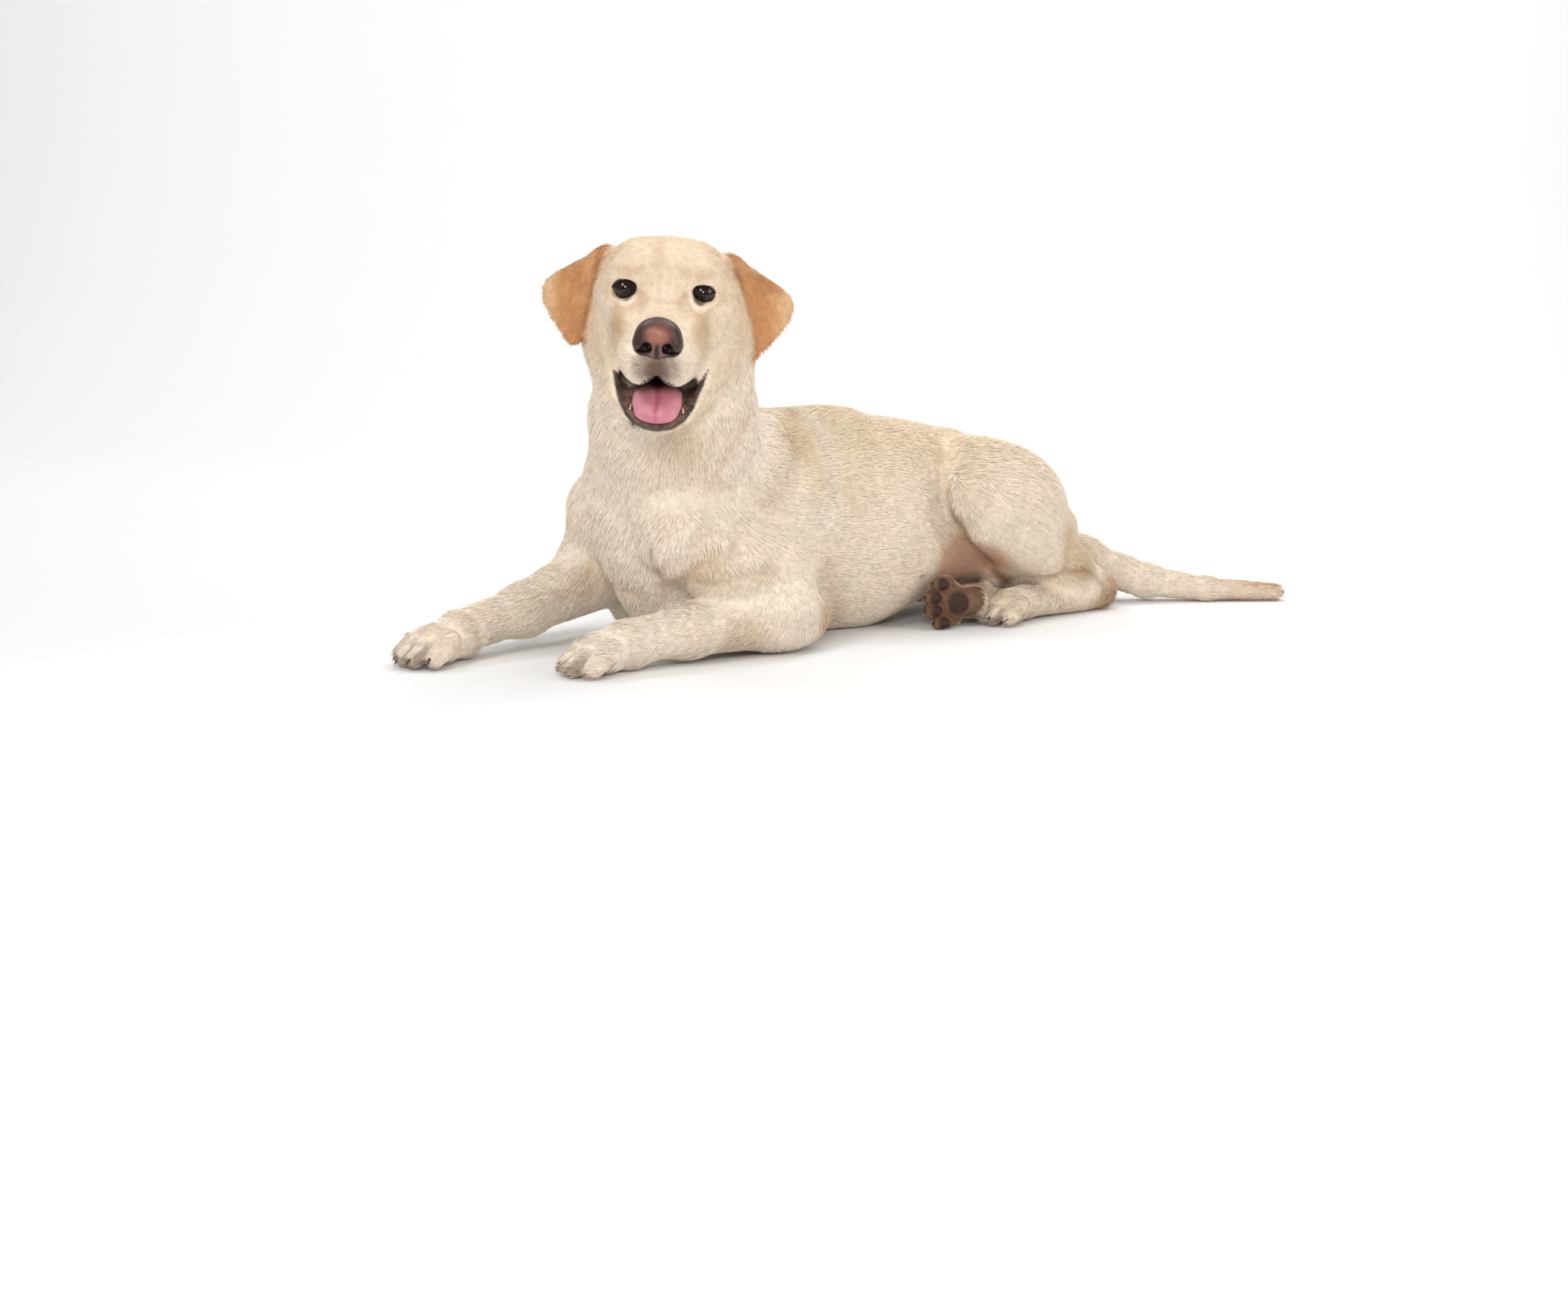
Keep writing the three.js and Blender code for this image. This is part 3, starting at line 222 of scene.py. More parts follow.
# ---- tail -------------------------------------------------------------------------------------
world()
group('tail', 26)
cone([332,0,88],[412,-36,55],42,29,20)
cone([412,-36,55],[480,-84,27],29,22,16)
cone([480,-84,27],[545,-126,15],22,16.5,10)
cone([545,-126,15],[618,-174,11.5],16.5,12.5,10)

# ---- nose leather -----------------------------------------------------------------
frame_at(HEAD_O, HEAD_YAW, HEAD_PITCH, HEAD_ROLL)
group('nose', 0)
ell([80,0,-24],[18,18,16],[0,0,0],0)
sym_ell([79,11,-29],[17,12,14],[0,0,0],8)
sym_ell([84,13.5,-35],[13,10.5,10],[0,0,0],6)
ell([86,0,-39],[10,9,8],[0,0,0],6)
sym_cutell([97,10.5,-34.5],[9,4.4,5.0],[24,0,0],2)
sym_cutcone([94,14,-37],[80,28,-38],3.2,2.2,2)
cutcone([98,0,-33],[95,0,-50],1.0,1.2,1.0)
# ---- tongue -------------------------------------------------------------------------
group('tongue', 0)
ell([22,0,-94],[40,24.5,9],[0,13,0],0)
ell([48,0,-102.5],[20,24,7.5],[0,30,0],10)
ell([60,0,-109.5],[9,19.5,6],[0,50,0],8)
cutcone([10,0,-82],[48,0,-90.5],1.8,1.6,5)
cutcone([48,0,-90.5],[69,0,-103.5],1.6,1.2,5)
world()


# ---- grids ---------------------------------------------------------------------
def smin(a, b, k):
    if k <= 0: return np.minimum(a, b)
    h = np.maximum(k - np.abs(a - b), 0) / k
    return np.minimum(a, b) - h * h * k * 0.25
def axis(lo, segs):
    out = [lo]
    for upto, h in segs:
        n = max(1, int(round((upto - out[-1]) / h))); out += list(np.linspace(out[-1], upto, n + 1)[1:])
    return np.array(out)
def apply(D, G, p, margin):
    ij = [(np.searchsorted(g, p["lo"][q] - p["k"] - margin), np.searchsorted(g, p["hi"][q] + p["k"] + margin)) for q, g in enumerate(G)]
    if any(b <= a for a, b in ij): return
    (i0, i1), (j0, j1), (k0, k1) = ij
    step = max(1, int(1.2e6 // max(1, (j1 - j0) * (k1 - k0))))
    for s in range(i0, i1, step):
        e = min(i1, s + step)
        d = p["d"](np.stack(np.meshgrid(G[0][s:e], G[1][j0:j1], G[2][k0:k1], indexing="ij"), -1))
        V = D[s:e, j0:j1, k0:k1]
        D[s:e, j0:j1, k0:k1] = smin(V, d, p["k"]) if p["s"] > 0 else -smin(-V, d, p["k"])
def field(groups, G, margin=14.0):
    D = np.full([len(g) for g in G], 60.0, np.float32)
    for g in groups:
        pos = [p for p in g["prims"] if p["s"] > 0]
        lo = np.min([p["lo"] - p["k"] - margin for p in pos], 0); hi = np.max([p["hi"] + p["k"] + margin for p in pos], 0)
        ij = [slice(np.searchsorted(a, lo[q]), np.searchsorted(a, hi[q])) for q, a in enumerate(G)]
        sub = np.full([s.stop - s.start for s in ij], 60.0, np.float32)
        for p in g["prims"]: apply(sub, [a[s] for a, s in zip(G, ij)], p, margin)
        D[tuple(ij)] = smin(D[tuple(ij)], sub, g["k"])
    return D
def one_piece(m):
    if not m: return True
    seen = m & -m; grow = True
    while grow:
        grow = False
        for c in range(8):
            if (seen >> c) & 1:
                for b in (1, 2, 4):
                    n = 1 << (c ^ b)
                    if m & n and not seen & n: seen |= n; grow = True
    return seen == m
JOINED = np.array([one_piece(m) and one_piece(255 ^ m) for m in range(256)])
def corners(A):
    n = A.shape
    return [A[a:n[0] - 1 + a, b:n[1] - 1 + b, c:n[2] - 1 + c] for a in (0, 1) for b in (0, 1) for c in (0, 1)]
def surface(D, G):
    """Closed quad mesh of D = 0. Cells whose inside or outside corners fall into two parts are filled first, so every edge has two faces."""
    for _ in range(40):
        m = sum((c < 0).astype(np.uint8) << i for i, c in enumerate(corners(D)))
        bad = np.argwhere((m > 0) & (m < 255) & ~JOINED[m])
        if not len(bad): break
        best = np.full(len(bad), np.inf); at = np.zeros((len(bad), 3), int)
        for c in range(8):
            q = bad + [c >> 2, (c >> 1) & 1, c & 1]; v = D[q[:, 0], q[:, 1], q[:, 2]]
            ok = (v >= 0) & (v < best) & (G[2][q[:, 2]] > 0); best[ok] = v[ok]; at[ok] = q[ok]
        k = np.isfinite(best); D[at[k, 0], at[k, 1], at[k, 2]] = -0.05
        if not k.any(): break
    S = D < 0
    cnt = sum(c.astype(np.int8) for c in corners(S)); act = (cnt > 0) & (cnt < 8)
    I, J, K = np.nonzero(act); n = len(I)
    idx = np.full(act.shape, -1, np.int32); idx[I, J, K] = np.arange(n)
    acc = np.zeros((n, 3)); w = np.zeros(n); cor = [(a, b, c) for a in (0, 1) for b in (0, 1) for c in (0, 1)]
    for u in range(8):
        for v in range(u + 1, 8):
            df = [cor[v][t] - cor[u][t] for t in range(3)]
            if sum(abs(t) for t in df) != 1: continue
            ax = [t for t in range(3) if df[t]][0]
            d0 = D[I + cor[u][0], J + cor[u][1], K + cor[u][2]]; d1 = D[I + cor[v][0], J + cor[v][1], K + cor[v][2]]
            m = (d0 < 0) != (d1 < 0); t = d0[m] / (d0[m] - d1[m])
            base = [G[0][I[m] + cor[u][0]], G[1][J[m] + cor[u][1]], G[2][K[m] + cor[u][2]]]
            end = G[ax][(I, J, K)[ax][m] + cor[v][ax]]; base[ax] = base[ax] + (end - base[ax]) * t
            acc[m] += np.stack(base, -1); w[m] += 1
    V = acc / w[:, None]; F = []
    for ax in range(3):
        o = [q for q in range(3) if q != ax]
        a = S.take(range(0, S.shape[ax] - 1), ax); b = S.take(range(1, S.shape[ax]), ax)
        sl = [slice(None)] * 3
        for q in o: sl[q] = slice(1, -1)
        E = np.stack(np.nonzero(a[tuple(sl)] != b[tuple(sl)]), -1)
        for q in o: E[:, q] += 1
        flip = S[E[:, 0], E[:, 1], E[:, 2]]
        def at(d0, d1):
            e = E.copy(); e[:, o[0]] -= d0; e[:, o[1]] -= d1
            return idx[e[:, 0], e[:, 1], e[:, 2]]
        q = np.stack([at(1, 1), at(0, 1), at(0, 0), at(1, 0)], -1)
        if ax == 1: flip = ~flip
        q[~flip] = q[~flip][:, ::-1]
        F.append(q)
    return V, np.concatenate(F)
def small_field(name, c, half, h):
    G = [axis(v - half, [(v + half, h)]) for v in c]
    return surface(field([g for g in GR if g["name"] == name], G, 8.0), G)

# ---- helpers -------------------------------------------------------------------
HR = rot(HEAD_YAW, HEAD_PITCH, HEAD_ROLL); HO = np.array(HEAD_O)
def H(p): return HR @ np.array(p, float) + HO          # head frame -> shape frame
def inH(P): return (np.asarray(P) - HO) @ HR            # shape frame -> head frame
def out(P): return (np.asarray(P, float) - ORIGIN) * 0.001
def sstep(x, a, b):
    t = np.clip((x - a) / (b - a), 0, 1); return t * t * (3 - 2 * t)
def lin(r, g, b): return np.array([((v / 255 + 0.055) / 1.055) ** 2.4 if v > 10 else v / 255 / 12.92 for v in (r, g, b)])
def mesh_object(name, V, F, smooth=True):
    """V in the shape frame, mm; F an (n, 3) or (n, 4) array."""
    F = np.asarray(F, np.int32); V = out(V).astype(np.float32); k = F.shape[1]
    me = bpy.data.meshes.new(name)
    me.vertices.add(len(V)); me.vertices.foreach_set("co", V.ravel())
    me.loops.add(F.size); me.loops.foreach_set("vertex_index", F.ravel())
    me.polygons.add(len(F)); me.polygons.foreach_set("loop_start", np.arange(len(F), dtype=np.int32) * k)
    me.polygons.foreach_set("use_smooth", np.full(len(F), smooth, bool))
    me.update(); me.validate()
    ob = bpy.data.objects.new(name, me); bpy.context.collection.objects.link(ob)
    return ob
def noise3(P, scale, seed=0, octaves=2):
    """Smooth value noise at points P, -1..1, the same every run."""
    P = np.asarray(P) / scale; tot = np.zeros(len(P)); amp = 1.0; norm = 0
    for o in range(octaves):
        q = P * (2 ** o) + 17.3 * (seed + o); i = np.floor(q).astype(np.int64); f = q - i; f = f * f * (3 - 2 * f); v = 0
        for a in (0, 1):
            for b in (0, 1):
                for c in (0, 1):
                    h = (i[:, 0] + a) * 73856093 ^ (i[:, 1] + b) * 19349663 ^ (i[:, 2] + c) * 83492791 ^ (seed * 2654435761 + o * 97)
                    h = (h ^ (h >> 13)) * 1274126177 & 0x7FFFFFFF; r = (h % 65536) / 32768.0 - 1
                    v = v + r * (f[:, 0] if a else 1 - f[:, 0]) * (f[:, 1] if b else 1 - f[:, 1]) * (f[:, 2] if c else 1 - f[:, 2])
        tot += v * amp; norm += amp; amp *= 0.5
    return tot / norm

# ---- coat: depth, colours and lie, all as functions of place ------------------------------
world()
MOUTH = [cone_at(H([6, s * 40, -77]), H([62, s * 17, -98]), 3.5, 15, -1, 4) for s in (1, -1)] + [cone_at(H([-10, 0, -82]), H([80, 0, -101]), 10, 18, -1, 8)]
EYES = [H([EYE_X, s * EYE_Y, 0]) for s in (1, -1)]
def ear_mask(P):
    """1 on the ear flaps, from the flap's own outline."""
    m = np.full(len(P), 99.0)
    for g in GR:
        if g["name"] == "ears":
            for p in g["prims"]:
                if "leaf" in p: m = np.minimum(m, p["d"](P))
    return m
# the face seen from straight in front of it: mm across and up from the head's own origin
SIGHT = np.array([-1220.9, -1789.2, 400.0])
def front(P):
    d = np.asarray(P) - SIGHT; f = d @ np.array([0.5484, 0.8132, -0.19436]); u = d @ np.array([0.1087, 0.1611, 0.98093]); s = d @ np.array([0.829, -0.559, 0.0])
    return (2520 * s / f + 160.2) / 1.351, (2520 * u / f - 485.6) / 1.3757
def in_outline(a, b, poly):
    """Signed distance to a closed outline, negative inside."""
    m = np.full(len(a), 1e9); s = np.ones(len(a))
    for i in range(len(poly)):
        (x0, y0), (x1, y1) = poly[i], poly[i - 1]; ex, ey = x1 - x0, y1 - y0; wx, wy = a - x0, b - y0
        t = np.clip((wx * ex + wy * ey) / (ex * ex + ey * ey), 0, 1); m = np.minimum(m, (wx - ex * t) ** 2 + (wy - ey * t) ** 2)
        c1, c2, c3 = b >= y0, b < y1, ex * wy > ey * wx; s = np.where((c1 & c2 & c3) | (~c1 & ~c2 & ~c3), -s, s)
    return s * np.sqrt(m)
LIPS = [(-51, -76), (-48.7, -92.5), (-45.5, -107), (-39.3, -120), (-31.9, -129), (-19.6, -135), (-6, -137), (7.5, -135), (19.9, -127.6), (28.5, -115.5), (34.2, -102), (38.5, -92), (43.5, -77),
        (37, -86.5), (29.8, -93.7), (19.9, -96), (7.5, -90), (-2.3, -84), (-9.7, -82.3), (-17, -85), (-24.5, -90), (-34.4, -93.7), (-41.8, -88), (-46.7, -80)]
def lips(P, q):
    a, b = front(P); d = in_outline(a, b, LIPS); d[(q[:, 0] < -30) | (np.abs(q[:, 1]) > 60)] = 50
    return d
def regions(P):
    """Weights, 0 to 1, of the places where the coat changes."""
    q = inH(P); R = {}
    x, y, z = q[:, 0], np.abs(q[:, 1]), q[:, 2]
    R["q"] = q
    jaw = 1 - sstep(np.sqrt(((x - 22) / 62) ** 2 + (y / 58) ** 2 + ((z + 98) / 46) ** 2), 0.8, 1.15)
    R["face"] = np.maximum(1 - sstep(np.sqrt(((x - 20) / 95) ** 2 + (y / 72) ** 2 + ((z + 35) / 88) ** 2), 0.85, 1.2), jaw)
    R["muzzle"] = sstep(x, 5, 45) * (1 - sstep(np.sqrt(y ** 2 + (z + 45) ** 2), 70, 100)) * sstep(z, -135, -120)
    e = ear_mask(P); ye = 60 + 0.2 * np.clip(30 - z, 0, 90); R["ear"] = (1 - sstep(e, 0.5, 5.0)) * sstep(y - ye, -5, 5); R["ear_d"] = e; R["lid"] = 1 - sstep(np.min([np.linalg.norm(P - E, axis=1) for E in EYES], 0), 15, 22)
    R["head"] = np.maximum(1 - sstep(np.sqrt(((x + 30) / 120) ** 2 + (y / 90) ** 2 + ((z + 20) / 100) ** 2), 0.85, 1.15), jaw)
    R["neck"] = (1 - R["head"]) * sstep(P[:, 2], 150, 220) * (1 - sstep(P[:, 0], -110, -40))
    d = np.min([np.sqrt((((P - c) / (62 * s)) ** 2).sum(1)) for c, _, s, _ in PAWS], 0)
    R["paw"] = 1 - sstep(d, 0.75, 1.15)
    low = 1 - sstep(P[:, 2], 80, 130)
    pd = np.min([np.sqrt(((P - a) ** 2).sum(1)) / r for a, r in PADS], 0) if PADS else np.full(len(P), 9.0); R["pad"] = 1 - sstep(pd, 0.75, 1.1)
    R["fore"] = low * (1 - sstep(P[:, 0], -110, -40)) * sstep(np.abs(P[:, 1] - 0.0), 40, 70)
    R["hind"] = sstep(P[:, 0], 150, 200) * low * (1 - sstep(P[:, 1], -75, -55))
    R["tail"] = sstep(P[:, 0], 370, 420) * (1 - sstep(-P[:, 1] - 0.62 * (P[:, 0] - 400), 30, 60))
    R["chest"] = (1 - sstep(P[:, 0], -190, -120)) * (1 - sstep(P[:, 2], 200, 260)) * sstep(P[:, 2], 40, 80) * (1 - sstep(np.abs(P[:, 1]), 60, 100))
    R["back"] = sstep(P[:, 2], 150, 225) * sstep(P[:, 0], -120, -20)
    g = (P - np.array([196, -72, 78])) / np.array([52, 50, 46])
    R["groin"] = 1 - sstep(np.sqrt((g ** 2).sum(1)), 0.7, 1.25)
    return R
def coat_depth(P, R):
    d = np.full(len(P), 4.0)
    for name, v in (("neck", 5.2), ("chest", 5.0), ("tail", 4.6), ("groin", 1.5), ("fore", 3.4), ("hind", 3.0), ("head", 3.4), ("face", 1.9), ("paw", 2.0), ("ear", 1.5), ("lid", 0.8), ("pad", 0.5)): d = d + (v - d) * R[name]
    return d

CREAM, PEACH, WHITE, WARM = lin(242, 228, 209), lin(232, 211, 182), lin(246, 234, 217), lin(228, 200, 166)
EAR, EAR_DARK_AND_SHADE, EAR_PALE_AND_HIGHLIGHT = lin(214, 158, 104), lin(184, 122, 74), lin(236, 206, 166)
LIP, MOUTH_RED, MUZZLE_GREY_AND_SHADE, TAN_MARK_AND_SHADE = lin(44, 27, 24), lin(34, 12, 12), lin(112, 88, 72), lin(205, 176, 138)
PAD, GROIN_SHADE, ELBOW, WHISKER_SPOT_AND_TOE_SHADE = lin(62, 41, 33), lin(206, 160, 134), lin(194, 148, 106), lin(112, 80, 56)
def mix(c, d, w): return c + (np.asarray(d) - c) * w[:, None]
def paint(P, R):
    """Coat and skin colour at each point, linear, with painted shade and painted highlights. The one place where the
    markings and the painted shade are set.
    """
    q = R["q"]; x, y, z = q[:, 0], np.abs(q[:, 1]), q[:, 2]
    n1, n2 = noise3(P, 55, 3), noise3(P, 14, 5); fa_, fb_ = front(P)
    c = np.tile(CREAM, (len(P), 1))
    c = mix(c, PEACH, np.clip(R["back"] * (0.75 + 0.35 * n1), 0, 1))
    side = sstep(P[:, 0], -60, 40) * (1 - sstep(P[:, 0], 330, 420)) * (1 - R["back"])
    c = mix(c, PEACH, np.clip(side * (0.28 + 0.35 * n1), 0, 1))
    c = mix(c, WHITE, np.clip(R["chest"] * (0.55 + 0.3 * n1), 0, 1))
    c = mix(c, WHITE, np.clip(R["fore"] * 0.35 + R["paw"] * 0.25, 0, 1))
    c = mix(c, PEACH, np.clip(R["head"] * (1 - R["face"]) * sstep(z, 20, 55) * 0.35, 0, 1))
    c = mix(c, WARM, R["head"] * 0.75)
    # thigh pale in front, warm on the rump
    th = (1 - sstep(np.sqrt(((P[:, 0] - 225) / 95) ** 2 + ((P[:, 2] - 130) / 80) ** 2), 0.6, 1.2)) * (1 - sstep(P[:, 1], -90, -60))
    c = mix(c, CREAM, th * 0.8)
    # elbow, hock and tail tip are tan
    for a, r, s in (((-34, -122, 40), 34, 0.75), ((398, -100, 26), 36, 0.7), ((350, -30, 70), 60, 0.4)):
        c = mix(c, ELBOW, (1 - sstep(np.sqrt(((P - np.array(a)) ** 2).sum(1)) / r, 0.4, 1.15)) * s)
    # painted shade in the hollows, in a warm tan
    for a, r, s in HOLLOW_SHADE: c = mix(c, TAN_MARK_AND_SHADE, (1 - sstep(np.sqrt(((P - np.array(a)) ** 2).sum(1)) / r, 0.3, 1.3)) * s)
    c = mix(c, lin(196, 140, 90), R["tail"] * sstep(P[:, 0] - 1.2 * P[:, 2], 455, 575) * 0.95)
    c = mix(c, PEACH, R["tail"] * sstep(P[:, 2], 14, 40) * 0.4)
    # painted shade, warm brown, in the groin between thigh and belly
    c = mix(c, GROIN_SHADE, R["groin"] * 0.85)
    # ears: tone broken by noise, with painted shade toward the inner side and painted highlight on the upper part and
    # toward the outer edge
    e = R["ear"]; col = mix(np.tile(EAR, (len(P), 1)), EAR_DARK_AND_SHADE, np.clip(0.35 + 0.5 * n1 - 0.5 * sstep(y, 90, 120), 0, 1))
    col = mix(col, EAR_PALE_AND_HIGHLIGHT, np.clip(sstep(z, -5, 30) * sstep(y, 64, 84) * 0.45 + 0.25 * n2 + 0.7 * sstep(y, 104, 124), 0, 1))
    ns = noise3(np.stack([q[:, 0], q[:, 1], q[:, 2] * 0.22], -1), 4.5, 9); col = col * (1 + 0.13 * ns[:, None]); ye = 60 + 0.2 * np.clip(30 - z, 0, 90)
    # painted shade in a dark line along the ear's root, where it meets the head
    col = mix(col, lin(150, 92, 54), (1 - sstep(np.abs(y - ye - 5), 1, 7)) * (z < 22) * 0.55)
    c = mix(c, col, e)
    # face: pale muzzle; tan marks and painted shade round the eyes, on the brow, cheeks and bridge, modelling the face;
    # grey-brown and painted shade under the nose
    c = mix(c, CREAM, R["face"] * 0.5)
    # tan marks and painted shade round the eyes and on the brow
    for ey, ez, ry, rz, s in ((37, 17, 15, 6, 0.45), (52, -4, 12, 10, 0.35), (20, -6, 7, 12, 0.4), (35, -30, 16, 9, 0.22)):
        w = (1 - sstep(np.sqrt(((y - ey) / ry) ** 2 + ((z - ez) / rz) ** 2), 0.3, 1.25)) * (x > -30) * R["head"]
        c = mix(c, TAN_MARK_AND_SHADE, w * s)
    for k, E in enumerate(EYES):
        d = P - E; u = inH(P) - inH(E[None]); r = np.sqrt((u[:, 1] / 1.25) ** 2 + (u[:, 2]) ** 2)
        c = mix(c, lin(70, 46, 34), (1 - sstep(r, 6.5, 8.2)) * (u[:, 0] > 0) * 0.9)
    # painted shadow at the inner corners of the eyes
    for ca, cb, ra, rb in ((-26.5, -1.5, 5.5, 3.2), (20.5, -6.5, 5.0, 3.2)):
        c = mix(c, lin(66, 44, 34), (1 - sstep(np.sqrt(((fa_ - ca) / ra) ** 2 + ((fb_ - cb) / rb) ** 2), 0.3, 1.4)) * (x > -40) * (x < 60) * R["head"] * 0.28)
    # grey-brown hair and painted shade under the nose, down to the upper lip
    un = (1 - sstep(np.sqrt((y / 21) ** 2 + ((z + 56) / 17) ** 2), 0.4, 1.35)) * sstep(x, 56, 70)
    c = mix(c, MUZZLE_GREY_AND_SHADE, un * 0.95)
    # tan marks and painted shade on the cheeks, under the eyes, on the brow and forehead and beside the nose
    for ca, cb, ra, rb, st in ((-46, -38, 10, 26, 0.9), (35, -42, 10, 28, 0.9), (-36, -17, 15, 6, 0.5), (34, -24, 15, 6, 0.5), (-25, 19, 8, 5, 0.5), (20, 15, 8, 5, 0.5), (-5, 34, 8, 24, 0.45), (-52, 2, 6, 10, 0.5), (50, -2, 6, 10, 0.5), (-22, -8, 6, 9, 0.4), (13, -12, 6, 9, 0.4), (-20, -52, 10, 14, 0.5), (8, -56, 10, 14, 0.5)):
        c = mix(c, TAN_MARK_AND_SHADE, (1 - sstep(np.sqrt(((fa_ - ca) / ra) ** 2 + ((fb_ - cb) / rb) ** 2), 0.25, 1.3)) * (x > -60) * R["head"] * st * (0.8 + 0.5 * n2))
    # tan and painted shade on the bridge of the muzzle
    bridge = (1 - sstep(y, 8, 20)) * sstep(x, 35, 70) * sstep(z, -34, -16)
    c = mix(c, TAN_MARK_AND_SHADE, bridge * 0.4)
    # whisker beds: rows of small dark spots on the sides of the muzzle
    for i in range(4):
        for j in range(5):
            bx, bz = 46 + 7.5 * j, -50 - 6.5 * i - 0.9 * j
            d2 = np.sqrt((x - bx) ** 2 + (z - bz) ** 2); c = mix(c, WHISKER_SPOT_AND_TOE_SHADE, (1 - sstep(d2, 0.8, 2.2)) * (y > 14) * 0.45 * (z > -90))
    # lips, then the inside of the mouth
    md = np.min([m["d"](P) for m in MOUTH], 0); inside = (x > -30) * (z < -58) * (y < 60); lp = lips(P, q)
    c = mix(c, LIP, (1 - sstep(lp, -0.4, 1.4)) * inside * (0.93 + 0.07 * n2))
    fold = (1 - sstep(lp, -4.0, -2.4)) * (1 - sstep(md, 2.2, 4.0) * 0) * inside
    c = mix(c, lin(138, 98, 84), fold * sstep(noise3(P, 5, 21), -0.15, 0.35) * 0.85)
    c = mix(c, MOUTH_RED, (1 - sstep(md, -1.0, 1.6)) * inside * sstep(56 - x, 0, 16) * 0.9)
    # the sole is brown between the pads
    for c0, R0, s, o in PAWS[3:]:
        l = (P - o) @ R0; w = (1 - sstep(l[:, 2], 14 * s, 25 * s)) * (np.abs(l[:, 1]) < 40 * s) * (l[:, 0] > -24 * s) * (l[:, 0] < 70 * s) * (l[:, 2] > -12)
        c = mix(c, lin(116, 78, 50), w * 0.95)
    # painted shade in the hollows of the folds, warmer and darker, and painted highlight on their crests, paler
    for path, r, dp in FOLDS:
        m = np.full(len(P), 99.0)
        for a, b in zip(path[:-1], path[1:]):
            a, b = np.array(a, float), np.array(b, float); t = np.clip(((P - a) @ (b - a)) / ((b - a) @ (b - a)), 0, 1); m = np.minimum(m, np.sqrt(((P - a - t[:, None] * (b - a)) ** 2).sum(1)))
        w = 1 - sstep(m / (r * 1.5), 0.1, 1.25)
        c = mix(c, lin(186, 150, 114), w * 0.42) if dp > 0 else mix(c, lin(250, 242, 230), w * 0.4)
    # the shadowed creases along the edge of the thigh
    for path, r, s in CREASES:
        m = np.full(len(P), 99.0)
        for a, b in zip(path[:-1], path[1:]):
            a, b = np.array(a, float), np.array(b, float); t = np.clip(((P - a) @ (b - a)) / ((b - a) @ (b - a)), 0, 1); m = np.minimum(m, np.sqrt(((P - a - t[:, None] * (b - a)) ** 2).sum(1)))
        c = mix(c, lin(132, 92, 62), (1 - sstep(m / r, 0.15, 1.2)) * s)
    # pads, then painted shade in the creases between toes and on the low front of the toe tips
    for a, r in PADS: c = mix(c, PAD, (1 - sstep(np.sqrt(((P - a) ** 2).sum(1)) / r, 0.75, 1.12)))
    for c0, R0, s, o in PAWS:
        l = (P - o) @ R0; on = (l[:, 0] > 12 * s) & (l[:, 0] < 70 * s) & (np.abs(l[:, 1]) < 34 * s) & (l[:, 2] > -6) & (l[:, 2] < 44 * s)
        for t in (-1, 0, 1):
            w = (1 - sstep(np.abs(l[:, 1] - t * TOE_PITCH * s), 0.8, 4.0 * s)) * on * sstep(l[:, 0], 24 * s, 44 * s) * (1 - sstep(l[:, 2], 18 * s, 36 * s))
            c = mix(c, WHISKER_SPOT_AND_TOE_SHADE, w * 0.6)
        # painted shade on the low front of the toe tips, near the floor
        tip = on * sstep(l[:, 0], 46 * s, 66 * s) * (1 - sstep(l[:, 2], 4, 14)); c = mix(c, WHISKER_SPOT_AND_TOE_SHADE, tip * 0.35)
    return np.clip(c * (1 + 0.05 * n2[:, None]), 0, 1)

# Lie of the coat: from the nose back over the head, down the neck and trunk, down each leg, out along the tail.
FLOW = []
def lie(a, b, r, w=1.0): FLOW.append((np.array(a, float), np.array(b, float), r, w))
lie(H([95, 0, -20]), H([20, 0, 5]), 30); lie(H([20, 0, 5]), H([-70, 0, 45]), 40); lie(H([-70, 0, 45]), H([-125, 0, -10]), 45)
for s in (1, -1):
    lie(H([85, s * 22, -50]), H([10, s * 48, -45]), 26); lie(H([10, s * 48, -45]), H([-60, s * 66, -60]), 34)
    lie(H([60, s * 18, -118]), H([0, s * 36, -112]), 22); lie(H([5, s * 34, 16]), H([-60, s * 60, 20]), 26)
    lie(H([-50, s * 64, 30]), H([-50, s * 92, -66]), 22, 3.0)
lie(H([0, 0, -120]), [-250, -80, 240], 40); lie(H([-100, 0, -30]), [-120, -10, 262], 55)
lie([-262, -112, 300], [-250, -40, 200], 60); lie([-250, -40, 200], [-255, 0, 90], 60); lie([-200, -120, 290], [-180, -100, 160], 60)
lie([-170, -20, 290], [-130, 60, 200], 60); lie([-120, -10, 262], [100, 0, 236], 60); lie([100, 0, 236], [300, 0, 190], 70); lie([300, 0, 190], [372, -5, 95], 50)
lie([-60, -95, 190], [160, -100, 150], 60); lie([-60, 95, 190], [160, 100, 150], 60); lie([-60, -60, 60], [160, -60, 50], 60); lie([-60, 60, 60], [160, 60, 50], 60)
lie([-180, -90, 190], [-90, -100, 60], 45); lie([-90, -100, 60], [-60, -108, 30], 30); lie([-90, -110, 50], [-230, -100, 36], 36); lie([-230, -100, 36], [-345, -97, 16], 32)
lie([-190, 90, 200], [-190, 104, 90], 45); lie([-190, 104, 80], [-330, 72, 45], 38); lie([-330, 72, 45], [-470, 34, 16], 32); lie([-170, 105, 70], [-130, 108, 30], 30)
lie([160, -90, 200], [180, -110, 110], 55); lie([300, -70, 200], [330, -80, 100], 55); lie([180, -110, 110], [360, -96, 50], 45); lie([390, -94, 22], [250, -105, 22], 26); lie([250, -105, 22], [200, -108, 10], 24)
lie([240, 60, 130], [300, 90, 50], 60); lie([300, -40, 30], [180, -66, 32], 26); lie([185, -66, 34], [125, -76, 34], 26)
